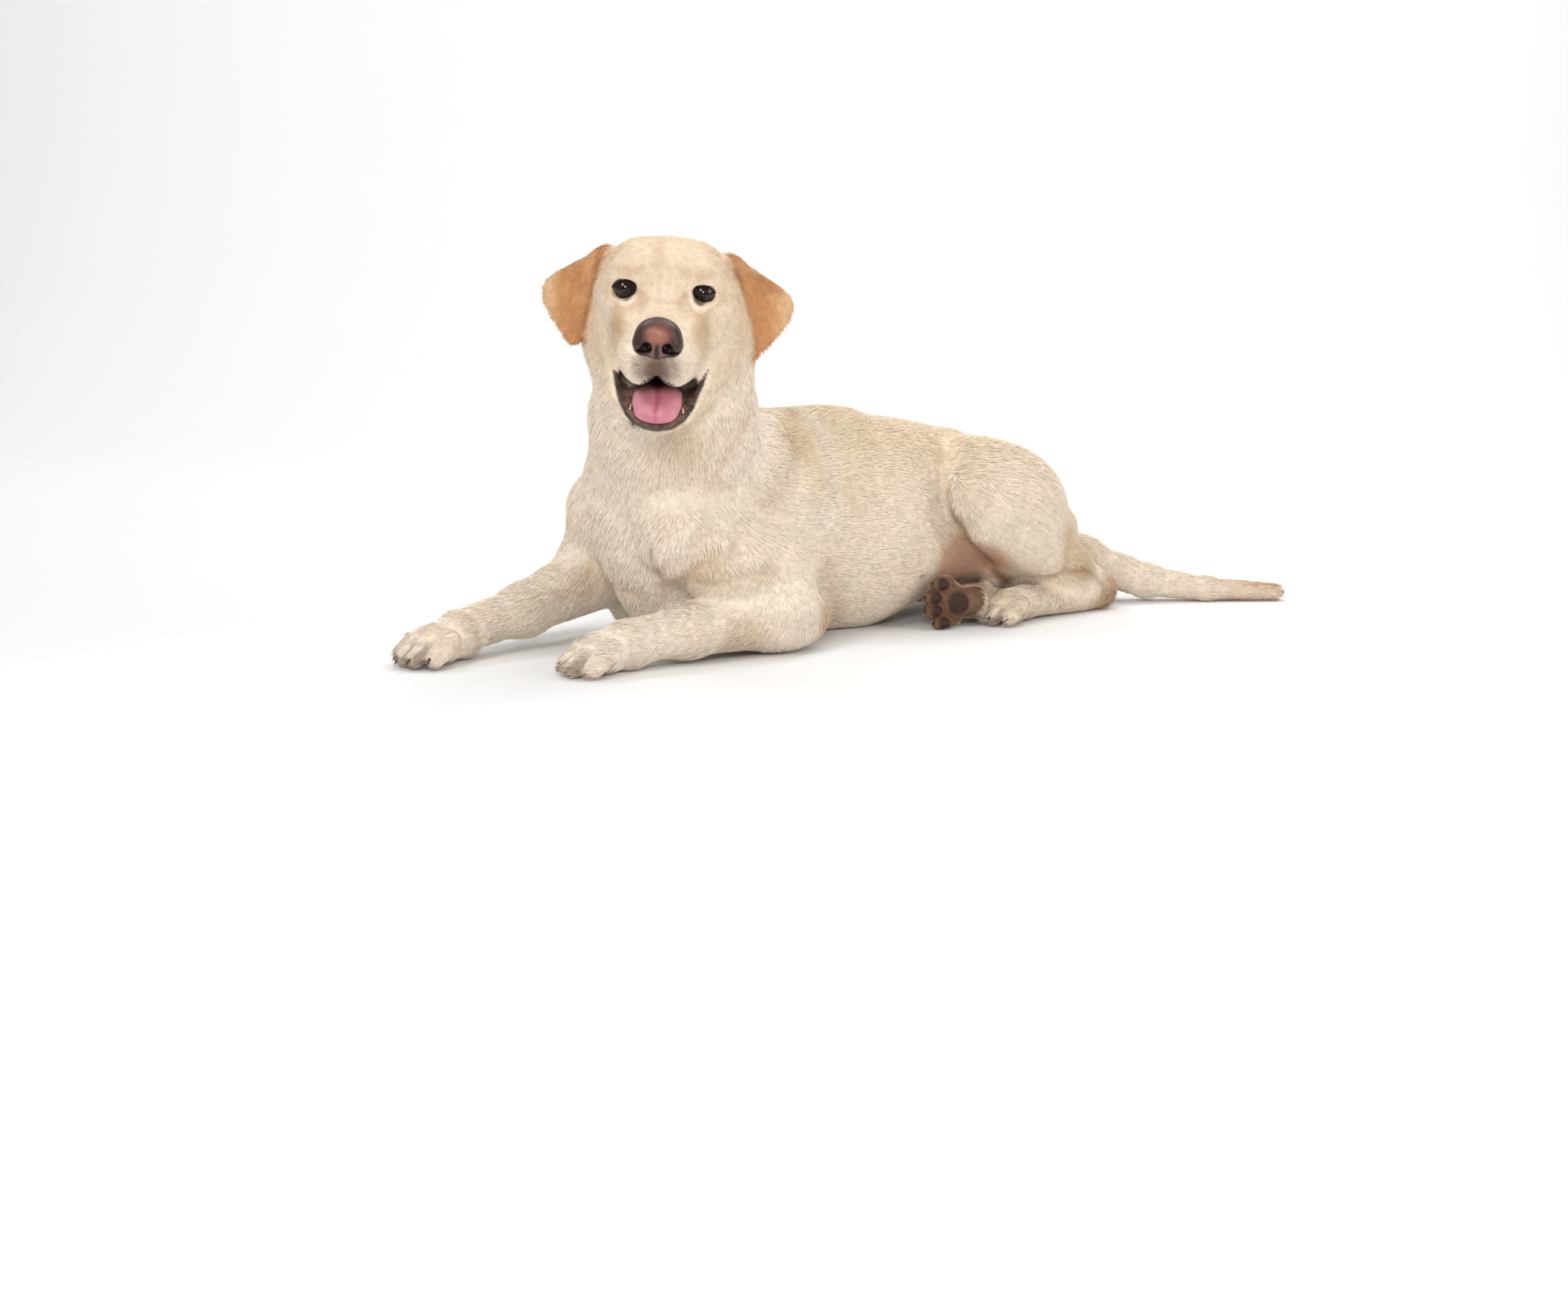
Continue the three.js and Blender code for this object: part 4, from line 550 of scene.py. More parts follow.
lie([365, 0, 95], [480, -84, 28], 40); lie([480, -84, 28], [625, -178, 12], 30)
def lie_at(P, N):
    acc = np.zeros_like(P)
    for a, b, r, w in FLOW:
        d = b - a; L = np.linalg.norm(d); t = np.clip(((P - a) @ d) / (L * L), 0, 1)
        dist = np.linalg.norm(P - (a + t[:, None] * d), axis=1)
        acc += (d / L) * (w * np.exp(-(dist / r) ** 2) + 1e-9)[:, None]
    acc -= N * (acc * N).sum(1)[:, None]
    l = np.linalg.norm(acc, axis=1)[:, None]
    return acc / np.maximum(l, 1e-9)

FOLDS = [
    ([(-147, -137, 267), (-169, -142, 243), (-180, -137, 222), (-183, -122, 195), (-190, -118, 164), (-212, -124, 137), (-231, -107, 115), (-228, -60, 97)], 6, 3.5),
    ([(-37, -14, 259), (-151, -133, 236), (-170, -123, 200), (-182, -118, 163)], 9, -3),
    ([(-72, -93, 208), (-91, -102, 186), (-116, -107, 167)], 6, 3.5),
    ([(-23, -15, 258), (-57, -70, 238), (-61, -84, 220)], 9, 3.0),
    ([(-6, -23, 255), (-11, -69, 220), (-16, -92, 177), (-22, -100, 140)], 10, -2.5),
    ([(-120, -137, 101), (-160, -136, 94), (-186, -118, 83), (-210, -103, 91), (-208, -60, 75)], 8, 5),
    ([(-170, -133, 127), (-199, -125, 113), (-213, -102, 93)], 8, 4.5),
    ([(-238, 57, 86), (-235, 5, 71), (-222, -38, 67)], 7, 4.5),
    ([(-284, 52, 68), (-251, 51, 55), (-216, 40, 55)], 6, 3),
    ([(-25, -95, 92), (-8, -83, 55), (16, -54, 14)], 8, 4.5),
    ([(-245, -88, 131), (-236, -77, 105), (-211, -57, 76)], 6, 3),
    ([(-199, -120, 160), (-223, -119, 133), (-236, -91, 109)], 9, -2.0),
    ([(-255, 37, 180), (-256, -2, 151), (-249, -28, 135)], 10, -2.5),
    ([(162, -64, 205), (148, -86, 174), (146, -95, 144), (158, -100, 126)], 7, 5),
    ([(129, -85, 175), (129, -93, 128), (151, -86, 91)], 6, 3),
    ([(332, -118, 101), (314, -124, 78), (308, -117, 55), (347, -119, 57)], 7, 4),
    ([(158, -96, 125), (216, -80, 78), (286, -44, 48)], 8, 4),
    ([(254, -84, 47), (280, -98, 46), (313, -122, 54), (345, -126, 58)], 6, 6.0),
]
# dark lines where the thigh folds against the flank and the shank
CREASES = [([(145, -99, 148), (161, -99, 121), (191, -89, 91), (231, -73, 63), (254, -81, 47)], 9, 0.8),
    ([(254, -81, 47), (288, -103, 47), (313, -122, 54), (339, -126, 60)], 8, 0.85), ([(339, -126, 60), (374, -117, 41), (382, -117, 25)], 6, 0.35)]
# painted shade, in a warm tan, in the hollows: throat, armpit, under the forearm, edge of the thigh
HOLLOW_SHADE = [((326, -120, 90), 36, 0.6), ((-236, -140, 238), 34, 0.45), ((-196, -125, 100), 26, 0.45), ((-232, 50, 76), 30, 0.4), ((-150, -128, 22), 34, 0.5), ((-44, -72, 238), 34, 0.55), ((-22, -100, 186), 30, 0.35), ((158, -100, 118), 22, 0.45), ((236, -84, 70), 30, 0.4), ((345, -112, 62), 22, 0.6), ((372, -60, 60), 30, 0.5)]
# ---- the skin: one surface under every part of flesh, by the coat's depth ----------------
small_names = ("nose", "tongue")
body = [g for g in GR if g["name"] not in small_names]
xs = axis(-500, [(-350, 4), (-130, 2.2), (680, 4)]); ys = axis(-320, [(20, 2.2), (190, 4)]); zs = axis(-12, [(0, 3), (66, 3), (256, 4), (460, 2.2)])
G = (xs, ys, zs)
D = field(body, G)
near = np.argwhere(np.abs(D) < 16); NP = np.stack([xs[near[:, 0]], ys[near[:, 1]], zs[near[:, 2]]], -1)
near_depth = np.empty(len(NP))
for s in range(0, len(NP), 400000): near_depth[s:s + 400000] = coat_depth(NP[s:s + 400000], regions(NP[s:s + 400000]))
D[near[:, 0], near[:, 1], near[:, 2]] += near_depth
for E in EYES:
    dE = np.linalg.norm(NP - E, axis=1) - (EYE_R - 0.6)
    v = D[near[:, 0], near[:, 1], near[:, 2]]
    D[near[:, 0], near[:, 1], near[:, 2]] = np.maximum(v, -dE)
nose = [g for g in GR if g["name"] == "nose"][0]
D = np.maximum(D, -1.0 - field([dict(name="nose", k=0, prims=[p for p in nose["prims"] if p["s"] > 0])], G, 6.0))   # the nose leather sits in its own bed
# folds of loose skin and the hollows between muscles: lines pressed in (positive) or raised (negative)
def press(path, width, depth):
    path = np.array(path, float); lo, hi = path.min(0) - 2.6 * width, path.max(0) + 2.6 * width
    ij = [slice(np.searchsorted(g, lo[k]), np.searchsorted(g, hi[k])) for k, g in enumerate(G)]
    X = np.stack(np.meshgrid(*[g[s] for g, s in zip(G, ij)], indexing="ij"), -1); m = None; T = None; n = len(path) - 1
    for i in range(n):
        a, b = path[i], path[i + 1]; t = np.clip(((X - a) @ (b - a)) / ((b - a) @ (b - a)), 0, 1); d = np.sqrt(((X - a - t[..., None] * (b - a)) ** 2).sum(-1)); u = (i + t) / n
        if m is None: m, T = d, u
        else: k = d < m; m = np.where(k, d, m); T = np.where(k, u, T)
    fade = np.sin(np.clip(T, 0.04, 0.96) * math.pi) ** 0.6
    D[ij[0], ij[1], ij[2]] += (depth * fade * np.exp(-(m / width) ** 2)).astype(np.float32)
for path, width, depth in FOLDS: press(path, width, depth)
D = np.maximum(D, 0.6 - zs[None, None, :]).astype(np.float32)
SV, SF = surface(D, G)
SKIN_TRIS = 190000

EXTRA_NODES = {"nose", "tongue", "eye_left", "eye_right"}
flesh = [n for n in frame["nodes"] if n not in EXTRA_NODES and "claw" not in n]
skin = mesh_object("skin", SV, SF)
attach(skin, "root"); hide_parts(*flesh)
mod = skin.modifiers.new("thin", "DECIMATE"); mod.ratio = min(1.0, SKIN_TRIS / (2 * len(SF)))
dg = bpy.context.evaluated_depsgraph_get()
me = bpy.data.meshes.new_from_object(skin.evaluated_get(dg)); skin.modifiers.clear(); old = skin.data; skin.data = me; bpy.data.meshes.remove(old)
me.name = "skin"
import time; T0 = time.time()
bpy.context.view_layer.objects.active = skin
for o in bpy.context.selected_objects: o.select_set(False)
skin.select_set(True)
me.uv_layers.new(name="OFBake")
bpy.ops.object.mode_set(mode="EDIT"); bpy.ops.mesh.select_all(action="SELECT")
bpy.ops.mesh.quads_convert_to_tris()
bpy.ops.uv.smart_project(angle_limit=math.radians(70), island_margin=0.002)
bpy.ops.object.mode_set(mode="OBJECT")
me = skin.data
print("smart project", round(time.time() - T0, 1), "s", len(me.polygons), "faces")
nv, nf = len(me.vertices), len(me.polygons)
co = np.empty(nv * 3, np.float32); me.vertices.foreach_get("co", co); co = co.reshape(-1, 3).astype(float) * 1000 + ORIGIN
tv = np.empty(nf * 3, np.int32); me.loops.foreach_get("vertex_index", tv); tv = tv.reshape(-1, 3)
uv = np.empty(len(me.loops) * 2, np.float32); me.uv_layers["OFBake"].data.foreach_get("uv", uv); uv = uv.reshape(-1, 3, 2).astype(float)
fn = np.cross(co[tv[:, 1]] - co[tv[:, 0]], co[tv[:, 2]] - co[tv[:, 0]]); fa = np.linalg.norm(fn, axis=1) / 2
vn = np.zeros_like(co)
for k in range(3): np.add.at(vn, tv[:, k], fn)
vn /= np.maximum(np.linalg.norm(vn, axis=1), 1e-9)[:, None]
SR = regions(co); scol = paint(co, SR)
def set_colour(me, cols, name="coat_colour"):
    a = me.color_attributes.new(name, "FLOAT_COLOR", "POINT")
    a.data.foreach_set("color", np.concatenate([cols, np.ones((len(cols), 1))], 1).astype(np.float32).ravel())
set_colour(me, scol)

# ---- materials -----------------------------------------------------------------
def material(name, rough=0.6, **sock):
    m = bpy.data.materials.new(name); m.use_nodes = True; b = m.node_tree.nodes["Principled BSDF"]
    b.inputs["Roughness"].default_value = rough
    for k, v in sock.items(): b.inputs[k.replace("_", " ")].default_value = v
    return m, m.node_tree.nodes, m.node_tree.links, b
def coat_material(name, bump, fine, sheen):
    m, N, L, b = material(name, 0.62, Sheen_Weight=sheen, Sheen_Roughness=0.45, Specular_IOR_Level=0.3)
    a = N.new("ShaderNodeVertexColor"); a.layer_name = "coat_colour"
    t = N.new("ShaderNodeTexCoord"); n = N.new("ShaderNodeTexNoise"); n.inputs["Scale"].default_value = fine; n.inputs["Detail"].default_value = 3
    L.new(t.outputs["Object"], n.inputs["Vector"])
    r = N.new("ShaderNodeMapRange"); r.inputs["From Min"].default_value = 0.3; r.inputs["From Max"].default_value = 0.7; r.inputs["To Min"].default_value = 0.88; r.inputs["To Max"].default_value = 1.08
    L.new(n.outputs["Fac"], r.inputs["Value"])
    x = N.new("ShaderNodeMix"); x.data_type = "RGBA"; x.blend_type = "MULTIPLY"; x.inputs["Factor"].default_value = 1.0
    L.new(a.outputs["Color"], x.inputs["A"]); L.new(r.outputs["Result"], x.inputs["B"]); L.new(x.outputs["Result"], b.inputs["Base Color"])
    if bump:
        u = N.new("ShaderNodeBump"); u.inputs["Strength"].default_value = bump; u.inputs["Distance"].default_value = 0.0012
        L.new(n.outputs["Fac"], u.inputs["Height"]); L.new(u.outputs["Normal"], b.inputs["Normal"])
    return m
skin_mat = coat_material("skin_and_undercoat", 0.5, 420, 0.0)
coat_mat = coat_material("coat_locks", 0.25, 160, 0.2)
me.materials.clear(); me.materials.append(skin_mat)

# ---- the coat: short flat locks rooted in the skin, laid along the flow --------------------
SPACING = dict(base=1.0)
def locks():
    q = SR["q"]; wet = (np.min([m["d"](co) for m in MOUTH], 0) < 1.0) | (lips(co, q) < 1.8)   # none on the lips or in the mouth
    bare = wet & (q[:, 0] > -40) & (q[:, 2] < -55) & (SR["head"] > 0.3)
    for E in EYES: bare |= np.linalg.norm(co - E, axis=1) < EYE_R + 0.5
    for a, r in PADS: bare |= np.linalg.norm(co - a, axis=1) < r * 1.02
    nose = [g for g in GR if g["name"] == "nose"][0]; bare |= np.min([p["d"](co) for p in nose["prims"] if p["s"] > 0], 0) < 1.5
    bare |= (co[:, 2] < 1.2)
    for c0, c1, c2, r in CLAWS: bare |= np.linalg.norm(co - c1, axis=1) < 5.5
    dens = np.full(len(co), 0.21)                                                # locks per mm2
    for name, v in (("neck", 0.2), ("chest", 0.2), ("tail", 0.22), ("head", 0.42), ("face", 0.75), ("lid", 0.6), ("paw", 0.45), ("fore", 0.24), ("hind", 0.24), ("ear", 0.55)): dens += (v - dens) * SR[name]
    far = sstep(co[:, 1], 40, 90) * (1 - SR["head"]); dens *= 1 - 0.35 * far * (co[:, 0] > -150)
    dens[bare] = 0
    w = fa * dens[tv].mean(1) * (1 - bare[tv].any(1)); total = int(min(w.sum(), MAX_LOCKS)); print("locks wanted", int(w.sum()), "made", total)
    cum = np.cumsum(w); pick = np.searchsorted(cum, (np.arange(total) + RNG.random(total)) / total * cum[-1]).clip(0, nf - 1)
    r1, r2 = RNG.random(total), RNG.random(total); s = np.sqrt(r1); B = np.stack([1 - s, s * (1 - r2), s * r2], 1)
    P = (co[tv[pick]] * B[:, :, None]).sum(1); N = (vn[tv[pick]] * B[:, :, None]).sum(1); N /= np.linalg.norm(N, axis=1)[:, None]
    U = (uv[pick] * B[:, :, None]).sum(1)
    return P, N, U
MAX_LOCKS = 202000
P, N, U = locks()
R = regions(P); n = len(P)
depth = coat_depth(P, R)
length = np.full(n, 13.0); width = np.full(n, 2.6)
for name, l, w in (("neck", 17, 2.4), ("chest", 16, 2.4), ("tail", 20, 2.3), ("head", 10, 1.9), ("face", 6.0, 1.25), ("paw", 7.5, 1.6), ("fore", 12, 2.2), ("hind", 12, 2.2), ("groin", 7, 1.5), ("ear", 8.5, 1.6), ("lid", 4.2, 1.0)):
    length += (l - length) * R[name]; width += (w - width) * R[name]
length *= 0.8 + 0.4 * RNG.random(n); width *= 0.8 + 0.4 * RNG.random(n)
T = lie_at(P, N); S = np.cross(N, T)
# the lie wanders a little: broad waves, then each lock its own way
ang = 0.32 * noise3(P, 38, 11) + 0.22 * noise3(P, 9, 13) + RNG.normal(0, 0.13, n)
T = T * np.cos(ang)[:, None] + S * np.sin(ang)[:, None]; S = np.cross(N, T)
rise = np.clip((depth * 0.92 + 0.2) / length, 0.05, 0.5) * (0.62 + 0.32 * RNG.random(n))
d = T * np.sqrt(1 - rise ** 2)[:, None] + N * rise[:, None]
root = P - N * 0.5
tip = root + d * length[:, None]
# tips part round the eyes and keep off the lips
q = inH(tip)
for s in (1, -1):
    dy, dz = q[:, 1] - s * EYE_Y, q[:, 2] + 0.5 + 0.26 * (s * q[:, 1] - EYE_Y); r = np.sqrt((dy / 1.22) ** 2 + dz ** 2); k = (r < 11.4) & (q[:, 0] > -12)
    f = 11.4 / np.maximum(r[k], 1e-6); tip[k] += (dy[k] * (f - 1))[:, None] * HR[:, 1] + (dz[k] * (f - 1))[:, None] * HR[:, 2]
k = (lips(tip, inH(tip)) < 0.5) & (R["head"] > 0.3); tip[k] = root[k] + (tip[k] - root[k]) * 0.35
# tips stay above the floor and bend along it
low = tip[:, 2] < 0.5; tip[low, 2] = 0.5 + 0.6 * RNG.random(low.sum())
h = (width * 0.17)[:, None]; w = (width * 0.5)[:, None]
v0, v1, v2 = root - S * w, root + S * w, root + N * h * 1.6 + d * (length * 0.12)[:, None]
V4 = np.stack([v0, v1, v2, tip], 1)
V4[..., 2] = np.maximum(V4[..., 2], 0.35)
F4 = np.array([[0, 1, 2], [0, 3, 1], [1, 3, 2], [2, 3, 0]])
c0 = paint(P, R) * (0.96 + 0.08 * RNG.random(n))[:, None]
# painted shade: each lock's root corners darker, its ridge lighter and its tip lightest
shade = np.array([0.93, 0.93, 0.98, 1.03])
C4 = np.clip(c0[:, None, :] * shade[None, :, None], 0, 1)
# each lock's patch of the bake map, about 0.003 across at its root
U4 = U[:, None, :] + np.array([[-0.0015, -0.001], [0.0015, -0.001], [0.0, 0.0], [0.0, 0.0015]])[None]
def region_of(P, R):
    g = np.full(len(P), 3)                                                   # trunk
    g[R["neck"] > 0.5] = 2; g[(R["chest"] > 0.5)] = 2; g[R["head"] > 0.5] = 1; g[(R["face"] > 0.5) | (R["muzzle"] > 0.6)] = 0; g[R["ear"] > 0.5] = 6
    fore = (P[:, 0] < -20) & (P[:, 2] < 130) & (g == 3); g[fore] = 4; g[(R["paw"] > 0.5) & (P[:, 0] < 0)] = 4
    g[(P[:, 0] > 150) & (g == 3)] = 5; return g
NAMES = ["coat_face", "coat_skull", "coat_neck_and_chest", "coat_trunk", "coat_forelegs", "coat_hindquarters", "coat_ears"]
reg = region_of(P, R); total = 0
for k, name in enumerate(NAMES):
    for part, ids in enumerate(np.array_split(np.flatnonzero(reg == k), max(1, -(-int((reg == k).sum()) * 4 // 196000)))):
        if not len(ids): continue
        m = len(ids); V = V4[ids].reshape(-1, 3); F = (F4[None] + 4 * np.arange(m)[:, None, None]).reshape(-1, 3)
        ob = mesh_object(name if part == 0 else name + "_%d" % (part + 1), V, F, smooth=False); me_ = ob.data
        if len(me_.polygons) != len(F): print("validate dropped", name, len(F) - len(me_.polygons))
        me_.materials.append(coat_mat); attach(ob, "root")
        set_colour(me_, C4[ids].reshape(-1, 3))
        lv = np.empty(len(me_.loops), np.int32); me_.loops.foreach_get("vertex_index", lv)
        layer = me_.uv_layers.new(name="OFBake"); layer.data.foreach_set("uv", U4[ids].reshape(-1, 2)[lv].astype(np.float32).ravel())
        total += len(F); print(ob.name, len(F))
print("coat triangles", total)

# ---- eyes, lids ----------------------------------------------------------------
def simple_material(name, layer, rough, scale, lo, hi, bump, dist, detail=4, **sock):
    """Colour from the mesh's own points, broken up by noise; roughness and bump follow the same noise."""
    m, N, L, b = material(name, rough, **sock)
    a = N.new("ShaderNodeVertexColor"); a.layer_name = layer
    t = N.new("ShaderNodeTexCoord"); n = N.new("ShaderNodeTexNoise"); n.inputs["Scale"].default_value = scale; n.inputs["Detail"].default_value = detail
    L.new(t.outputs["Object"], n.inputs["Vector"])
    r = N.new("ShaderNodeMapRange"); r.inputs["From Min"].default_value = 0.3; r.inputs["From Max"].default_value = 0.7; r.inputs["To Min"].default_value = lo; r.inputs["To Max"].default_value = hi
    L.new(n.outputs["Fac"], r.inputs["Value"])
    x = N.new("ShaderNodeMix"); x.data_type = "RGBA"; x.blend_type = "MULTIPLY"; x.inputs["Factor"].default_value = 1.0
    L.new(a.outputs["Color"], x.inputs["A"]); L.new(r.outputs["Result"], x.inputs["B"]); L.new(x.outputs["Result"], b.inputs["Base Color"])
    q = N.new("ShaderNodeMapRange"); q.inputs["To Min"].default_value = max(0.0, rough - 0.06); q.inputs["To Max"].default_value = min(1.0, rough + 0.06)
    L.new(n.outputs["Fac"], q.inputs["Value"]); L.new(q.outputs["Result"], b.inputs["Roughness"])
    u = N.new("ShaderNodeBump"); u.inputs["Strength"].default_value = bump; u.inputs["Distance"].default_value = dist
    L.new(n.outputs["Fac"], u.inputs["Height"]); L.new(u.outputs["Normal"], b.inputs["Normal"])
    return m
eye_mat = simple_material("eye_wet", "own_colour", 0.12, 900, 0.85, 1.12, 0.02, 0.0001, Coat_Weight=0.6, Coat_Roughness=0.03, IOR=1.33, Specular_IOR_Level=0.3)
lid_mat = simple_material("lid_skin", "own_colour", 0.38, 700, 0.85, 1.1, 0.4, 0.0004)
HX, HY, HZ = HR[:, 0], HR[:, 1], HR[:, 2]
def eye_axes(s):
    f = math.cos(math.radians(5)) * HX + s * math.sin(math.radians(5)) * HY; side = s * (HY - f * (HY @ f)); side /= np.linalg.norm(side)
    up = HZ; return f, side, up
def eyeball(name, s, node):
    E = H([EYE_X, s * EYE_Y, 0]); f, side, up = eye_axes(s)
    rings = np.concatenate([np.linspace(0, 64, 74), np.linspace(66, 180, 30)]); seg = 96; V = [E + f * (EYE_R + 0.55)]; F = []; A = [0.0]; PH = [0.0]
    for th in rings[1:-1]:
        t = math.radians(th); bulge = 0.55 * max(0.0, math.cos(min(1.0, th / 36) * math.pi / 2)) ** 1.2
        for i in range(seg):
            p = 2 * math.pi * i / seg; V.append(E + (EYE_R + bulge) * (f * math.cos(t) + math.sin(t) * (side * math.cos(p) + up * math.sin(p)))); A.append(th); PH.append(p)
    V.append(E - f * EYE_R); A.append(180.0); PH.append(0.0); nr = len(rings) - 2
    T3 = []
    for i in range(seg):
        T3.append([0, 1 + i, 1 + (i + 1) % seg]); b = 1 + (nr - 1) * seg; T3.append([len(V) - 1, b + (i + 1) % seg, b + i])
        for r in range(nr - 1):
            a0, a1 = 1 + r * seg + i, 1 + r * seg + (i + 1) % seg; b0, b1 = a0 + seg, a1 + seg; T3 += [[a0, b0, b1], [a0, b1, a1]]
    V, T3, A, PH = np.array(V), np.array(T3), np.array(A), np.array(PH)
    n = np.cross(V[T3[0, 1]] - V[T3[0, 0]], V[T3[0, 2]] - V[T3[0, 0]])
    if n @ f < 0: T3 = T3[:, ::-1]
    ob = mesh_object(name, V, T3); st = 0.5 + 0.5 * np.sin(PH * 37 + 2.1 * np.sin(PH * 11)) * np.sin(PH * 23 + 1.3)
    c = np.tile(lin(40, 23, 16), (len(V), 1)) * (0.75 + 0.5 * st)[:, None]
    # painted light: the brown iris ring is lighter on its lower half only
    c = mix(c, lin(66, 40, 27), (1 - sstep(np.abs(A - 21), 2, 8)) * (0.3 + 0.4 * st) * (V @ up < E @ up))
    c = mix(c, lin(26, 14, 10), sstep(A, 25, 30.5)); c = mix(c, lin(64, 44, 38), sstep(A, 44, 64) * 0.6); c = mix(c, lin(4, 3, 3), 1 - sstep(A, 12.5, 15.5))
    set_colour(ob.data, c, "own_colour"); ob.data.materials.append(eye_mat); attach(ob, "root"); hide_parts(node); return ob
eyeball("eyeball_left", 1, "eye_left"); eyeball("eyeball_right", -1, "eye_right")
def opening(p):
    """Edge of the eyelids round the eye, mm from its axis; p = 0 at the outer corner, 90 degrees at the top."""
    c, s = math.cos(p), math.sin(p); a = 13.2 if c > 0 else 13.4; b = 9.9 if s > 0 else 8.3
    x = a * math.copysign(abs(c) ** 0.92, c); z = b * math.copysign(abs(s) ** 1.18, s)
    return x, z - 0.24 * x - 0.9 * max(0.0, c) ** 2
def eyelids(name, s):
    E = H([EYE_X, s * EYE_Y, 0]); f, side, up = eye_axes(s); seg = 96; V = []; C = []
    rows = [(-0.4, 11.8, 0), (0.0, 12.95, 0), (0.6, 13.6, 0), (1.5, 13.85, 0.05), (2.3, 13.7, 0.5), (3.1, 13.2, 1), (4.6, 12.0, 1), (6.2, 10.0, 1)]
    for off, rad, w in rows:
        for i in range(seg):
            p = 2 * math.pi * i / seg; x, z = opening(p); r = math.hypot(x, z); k = (r + off) / r; x, z = x * k, z * k; rho = math.hypot(x, z)
            y = math.sqrt(max(rad * rad - rho * rho, 0.0)) if rho < rad * 0.97 else math.sqrt(rad * rad * (1 - 0.97 ** 2)) - (rho - rad * 0.97) * 0.9
            V.append(E + f * y + side * x + up * z); C.append(lin(30, 18, 14) * (1 - w) + lin(226, 202, 170) * w)
    F = [[r * seg + i, r * seg + (i + 1) % seg, (r + 1) * seg + (i + 1) % seg, (r + 1) * seg + i] for r in range(len(rows) - 1) for i in range(seg)]
    if s > 0: F = [q[::-1] for q in F]
    ob = mesh_object(name, np.array(V), np.array(F)); set_colour(ob.data, np.array(C), "own_colour"); ob.data.materials.append(lid_mat)
    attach(ob, "root"); return ob
eyelids("eyelids_left", 1); eyelids("eyelids_right", -1)

# ---- nose leather -----------------------------------------------------------------
NV, NF = small_field("nose", H([86, 0, -30]), 32, 0.8)
q = inH(NV); y, z, x = np.abs(q[:, 1]), q[:, 2], q[:, 0]
nostril = np.min([p["d"](NV) for p in [g for g in GR if g["name"] == "nose"][0]["prims"] if p["s"] < 0], 0)
c = np.tile(lin(66, 43, 38), (len(NV), 1))
c = mix(c, lin(166, 102, 86), (1 - sstep(np.sqrt((y / 16) ** 2 + ((z + 22) / 12) ** 2), 0.2, 1.15)) * 0.92)
c = mix(c, lin(150, 104, 92), (1 - sstep(np.sqrt(((y - 4) / 6) ** 2 + ((z + 38) / 9) ** 2), 0.4, 1.2)) * 0.6)
# painted shade: the nostrils and their rims darkened to near black
c = mix(c, lin(24, 14, 13), (1 - sstep(nostril, 0.2, 2.6)) * 0.95)
c = mix(c, lin(60, 40, 36), sstep(y, 14, 20) * 0.75)
nose_mat = simple_material("nose_leather", "own_colour", 0.34, 620, 0.82, 1.1, 0.55, 0.0006, Coat_Weight=0.06, Coat_Roughness=0.35, Specular_IOR_Level=0.35)
ob = mesh_object("nose_pad", NV, NF); set_colour(ob.data, c, "own_colour"); ob.data.materials.append(nose_mat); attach(ob, "root"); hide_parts("nose")

# ---- tongue and teeth -----------------------------------------------------------
NV, NF = small_field("tongue", H([36, 0, -102]), 56, 1.4)
q = inH(NV); y = np.abs(q[:, 1])
c = np.tile(lin(200, 124, 138), (len(NV), 1)); c = mix(c, lin(186, 92, 116), (1 - sstep(y, 0.6, 3.4)) * 0.7); c = mix(c, lin(222, 150, 162), sstep(y, 9, 18) * 0.5)
# painted shade: the tongue darker toward the back and near black at its top, under the palate
c = mix(c, lin(120, 46, 60), 1 - sstep(q[:, 0], 0, 40)); c = mix(c, lin(34, 12, 14), sstep(front(NV)[1], -101, -92) * 0.95)
tongue_mat = simple_material("tongue_wet", "own_colour", 0.36, 1100, 0.86, 1.1, 0.6, 0.0004, Coat_Weight=0.08, Coat_Roughness=0.3, Subsurface_Weight=0.15, Subsurface_Scale=0.004)
ob = mesh_object("tongue_body", NV, NF); set_colour(ob.data, c, "own_colour"); ob.data.materials.append(tongue_mat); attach(ob, "root"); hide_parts("tongue")
def tube(path, radii, seg=12, squash=1.0):
    """Tapered closed tube through the path."""
    path = np.array(path, float); V = []; F = []; n = len(path)
    tan = np.gradient(path, axis=0); tan /= np.linalg.norm(tan, axis=1)[:, None]
    a = np.cross(tan[0], [0.21, 0.35, 0.91]); a /= np.linalg.norm(a)
    for i in range(n):
        a = a - tan[i] * (a @ tan[i]); a /= np.linalg.norm(a); b = np.cross(tan[i], a)
        for j in range(seg):
            t = 2 * math.pi * j / seg; V.append(path[i] + radii[i] * (a * math.cos(t) + b * math.sin(t) * squash))
    for i in range(n - 1):
        for j in range(seg):
            p, r = i * seg + j, i * seg + (j + 1) % seg; F += [[p, r, r + seg], [p, r + seg, p + seg]]
    V.append(path[0]); V.append(path[-1] + tan[-1] * radii[-1] * 0.5)
    for j in range(seg): F += [[n * seg, (j + 1) % seg, j], [n * seg + 1, (n - 1) * seg + j, (n - 1) * seg + (j + 1) % seg]]
    return np.array(V), np.array(F)
def bezier(a, b, c, n): t = np.linspace(0, 1, n)[:, None]; return (1 - t) ** 2 * a + 2 * t * (1 - t) * b + t * t * c
def joined(name, items):
    V, F, o = [], [], 0
    for v, f in items: V.append(v); F.append(f + o); o += len(v)
    return mesh_object(name, np.concatenate(V), np.concatenate(F))
teeth = []
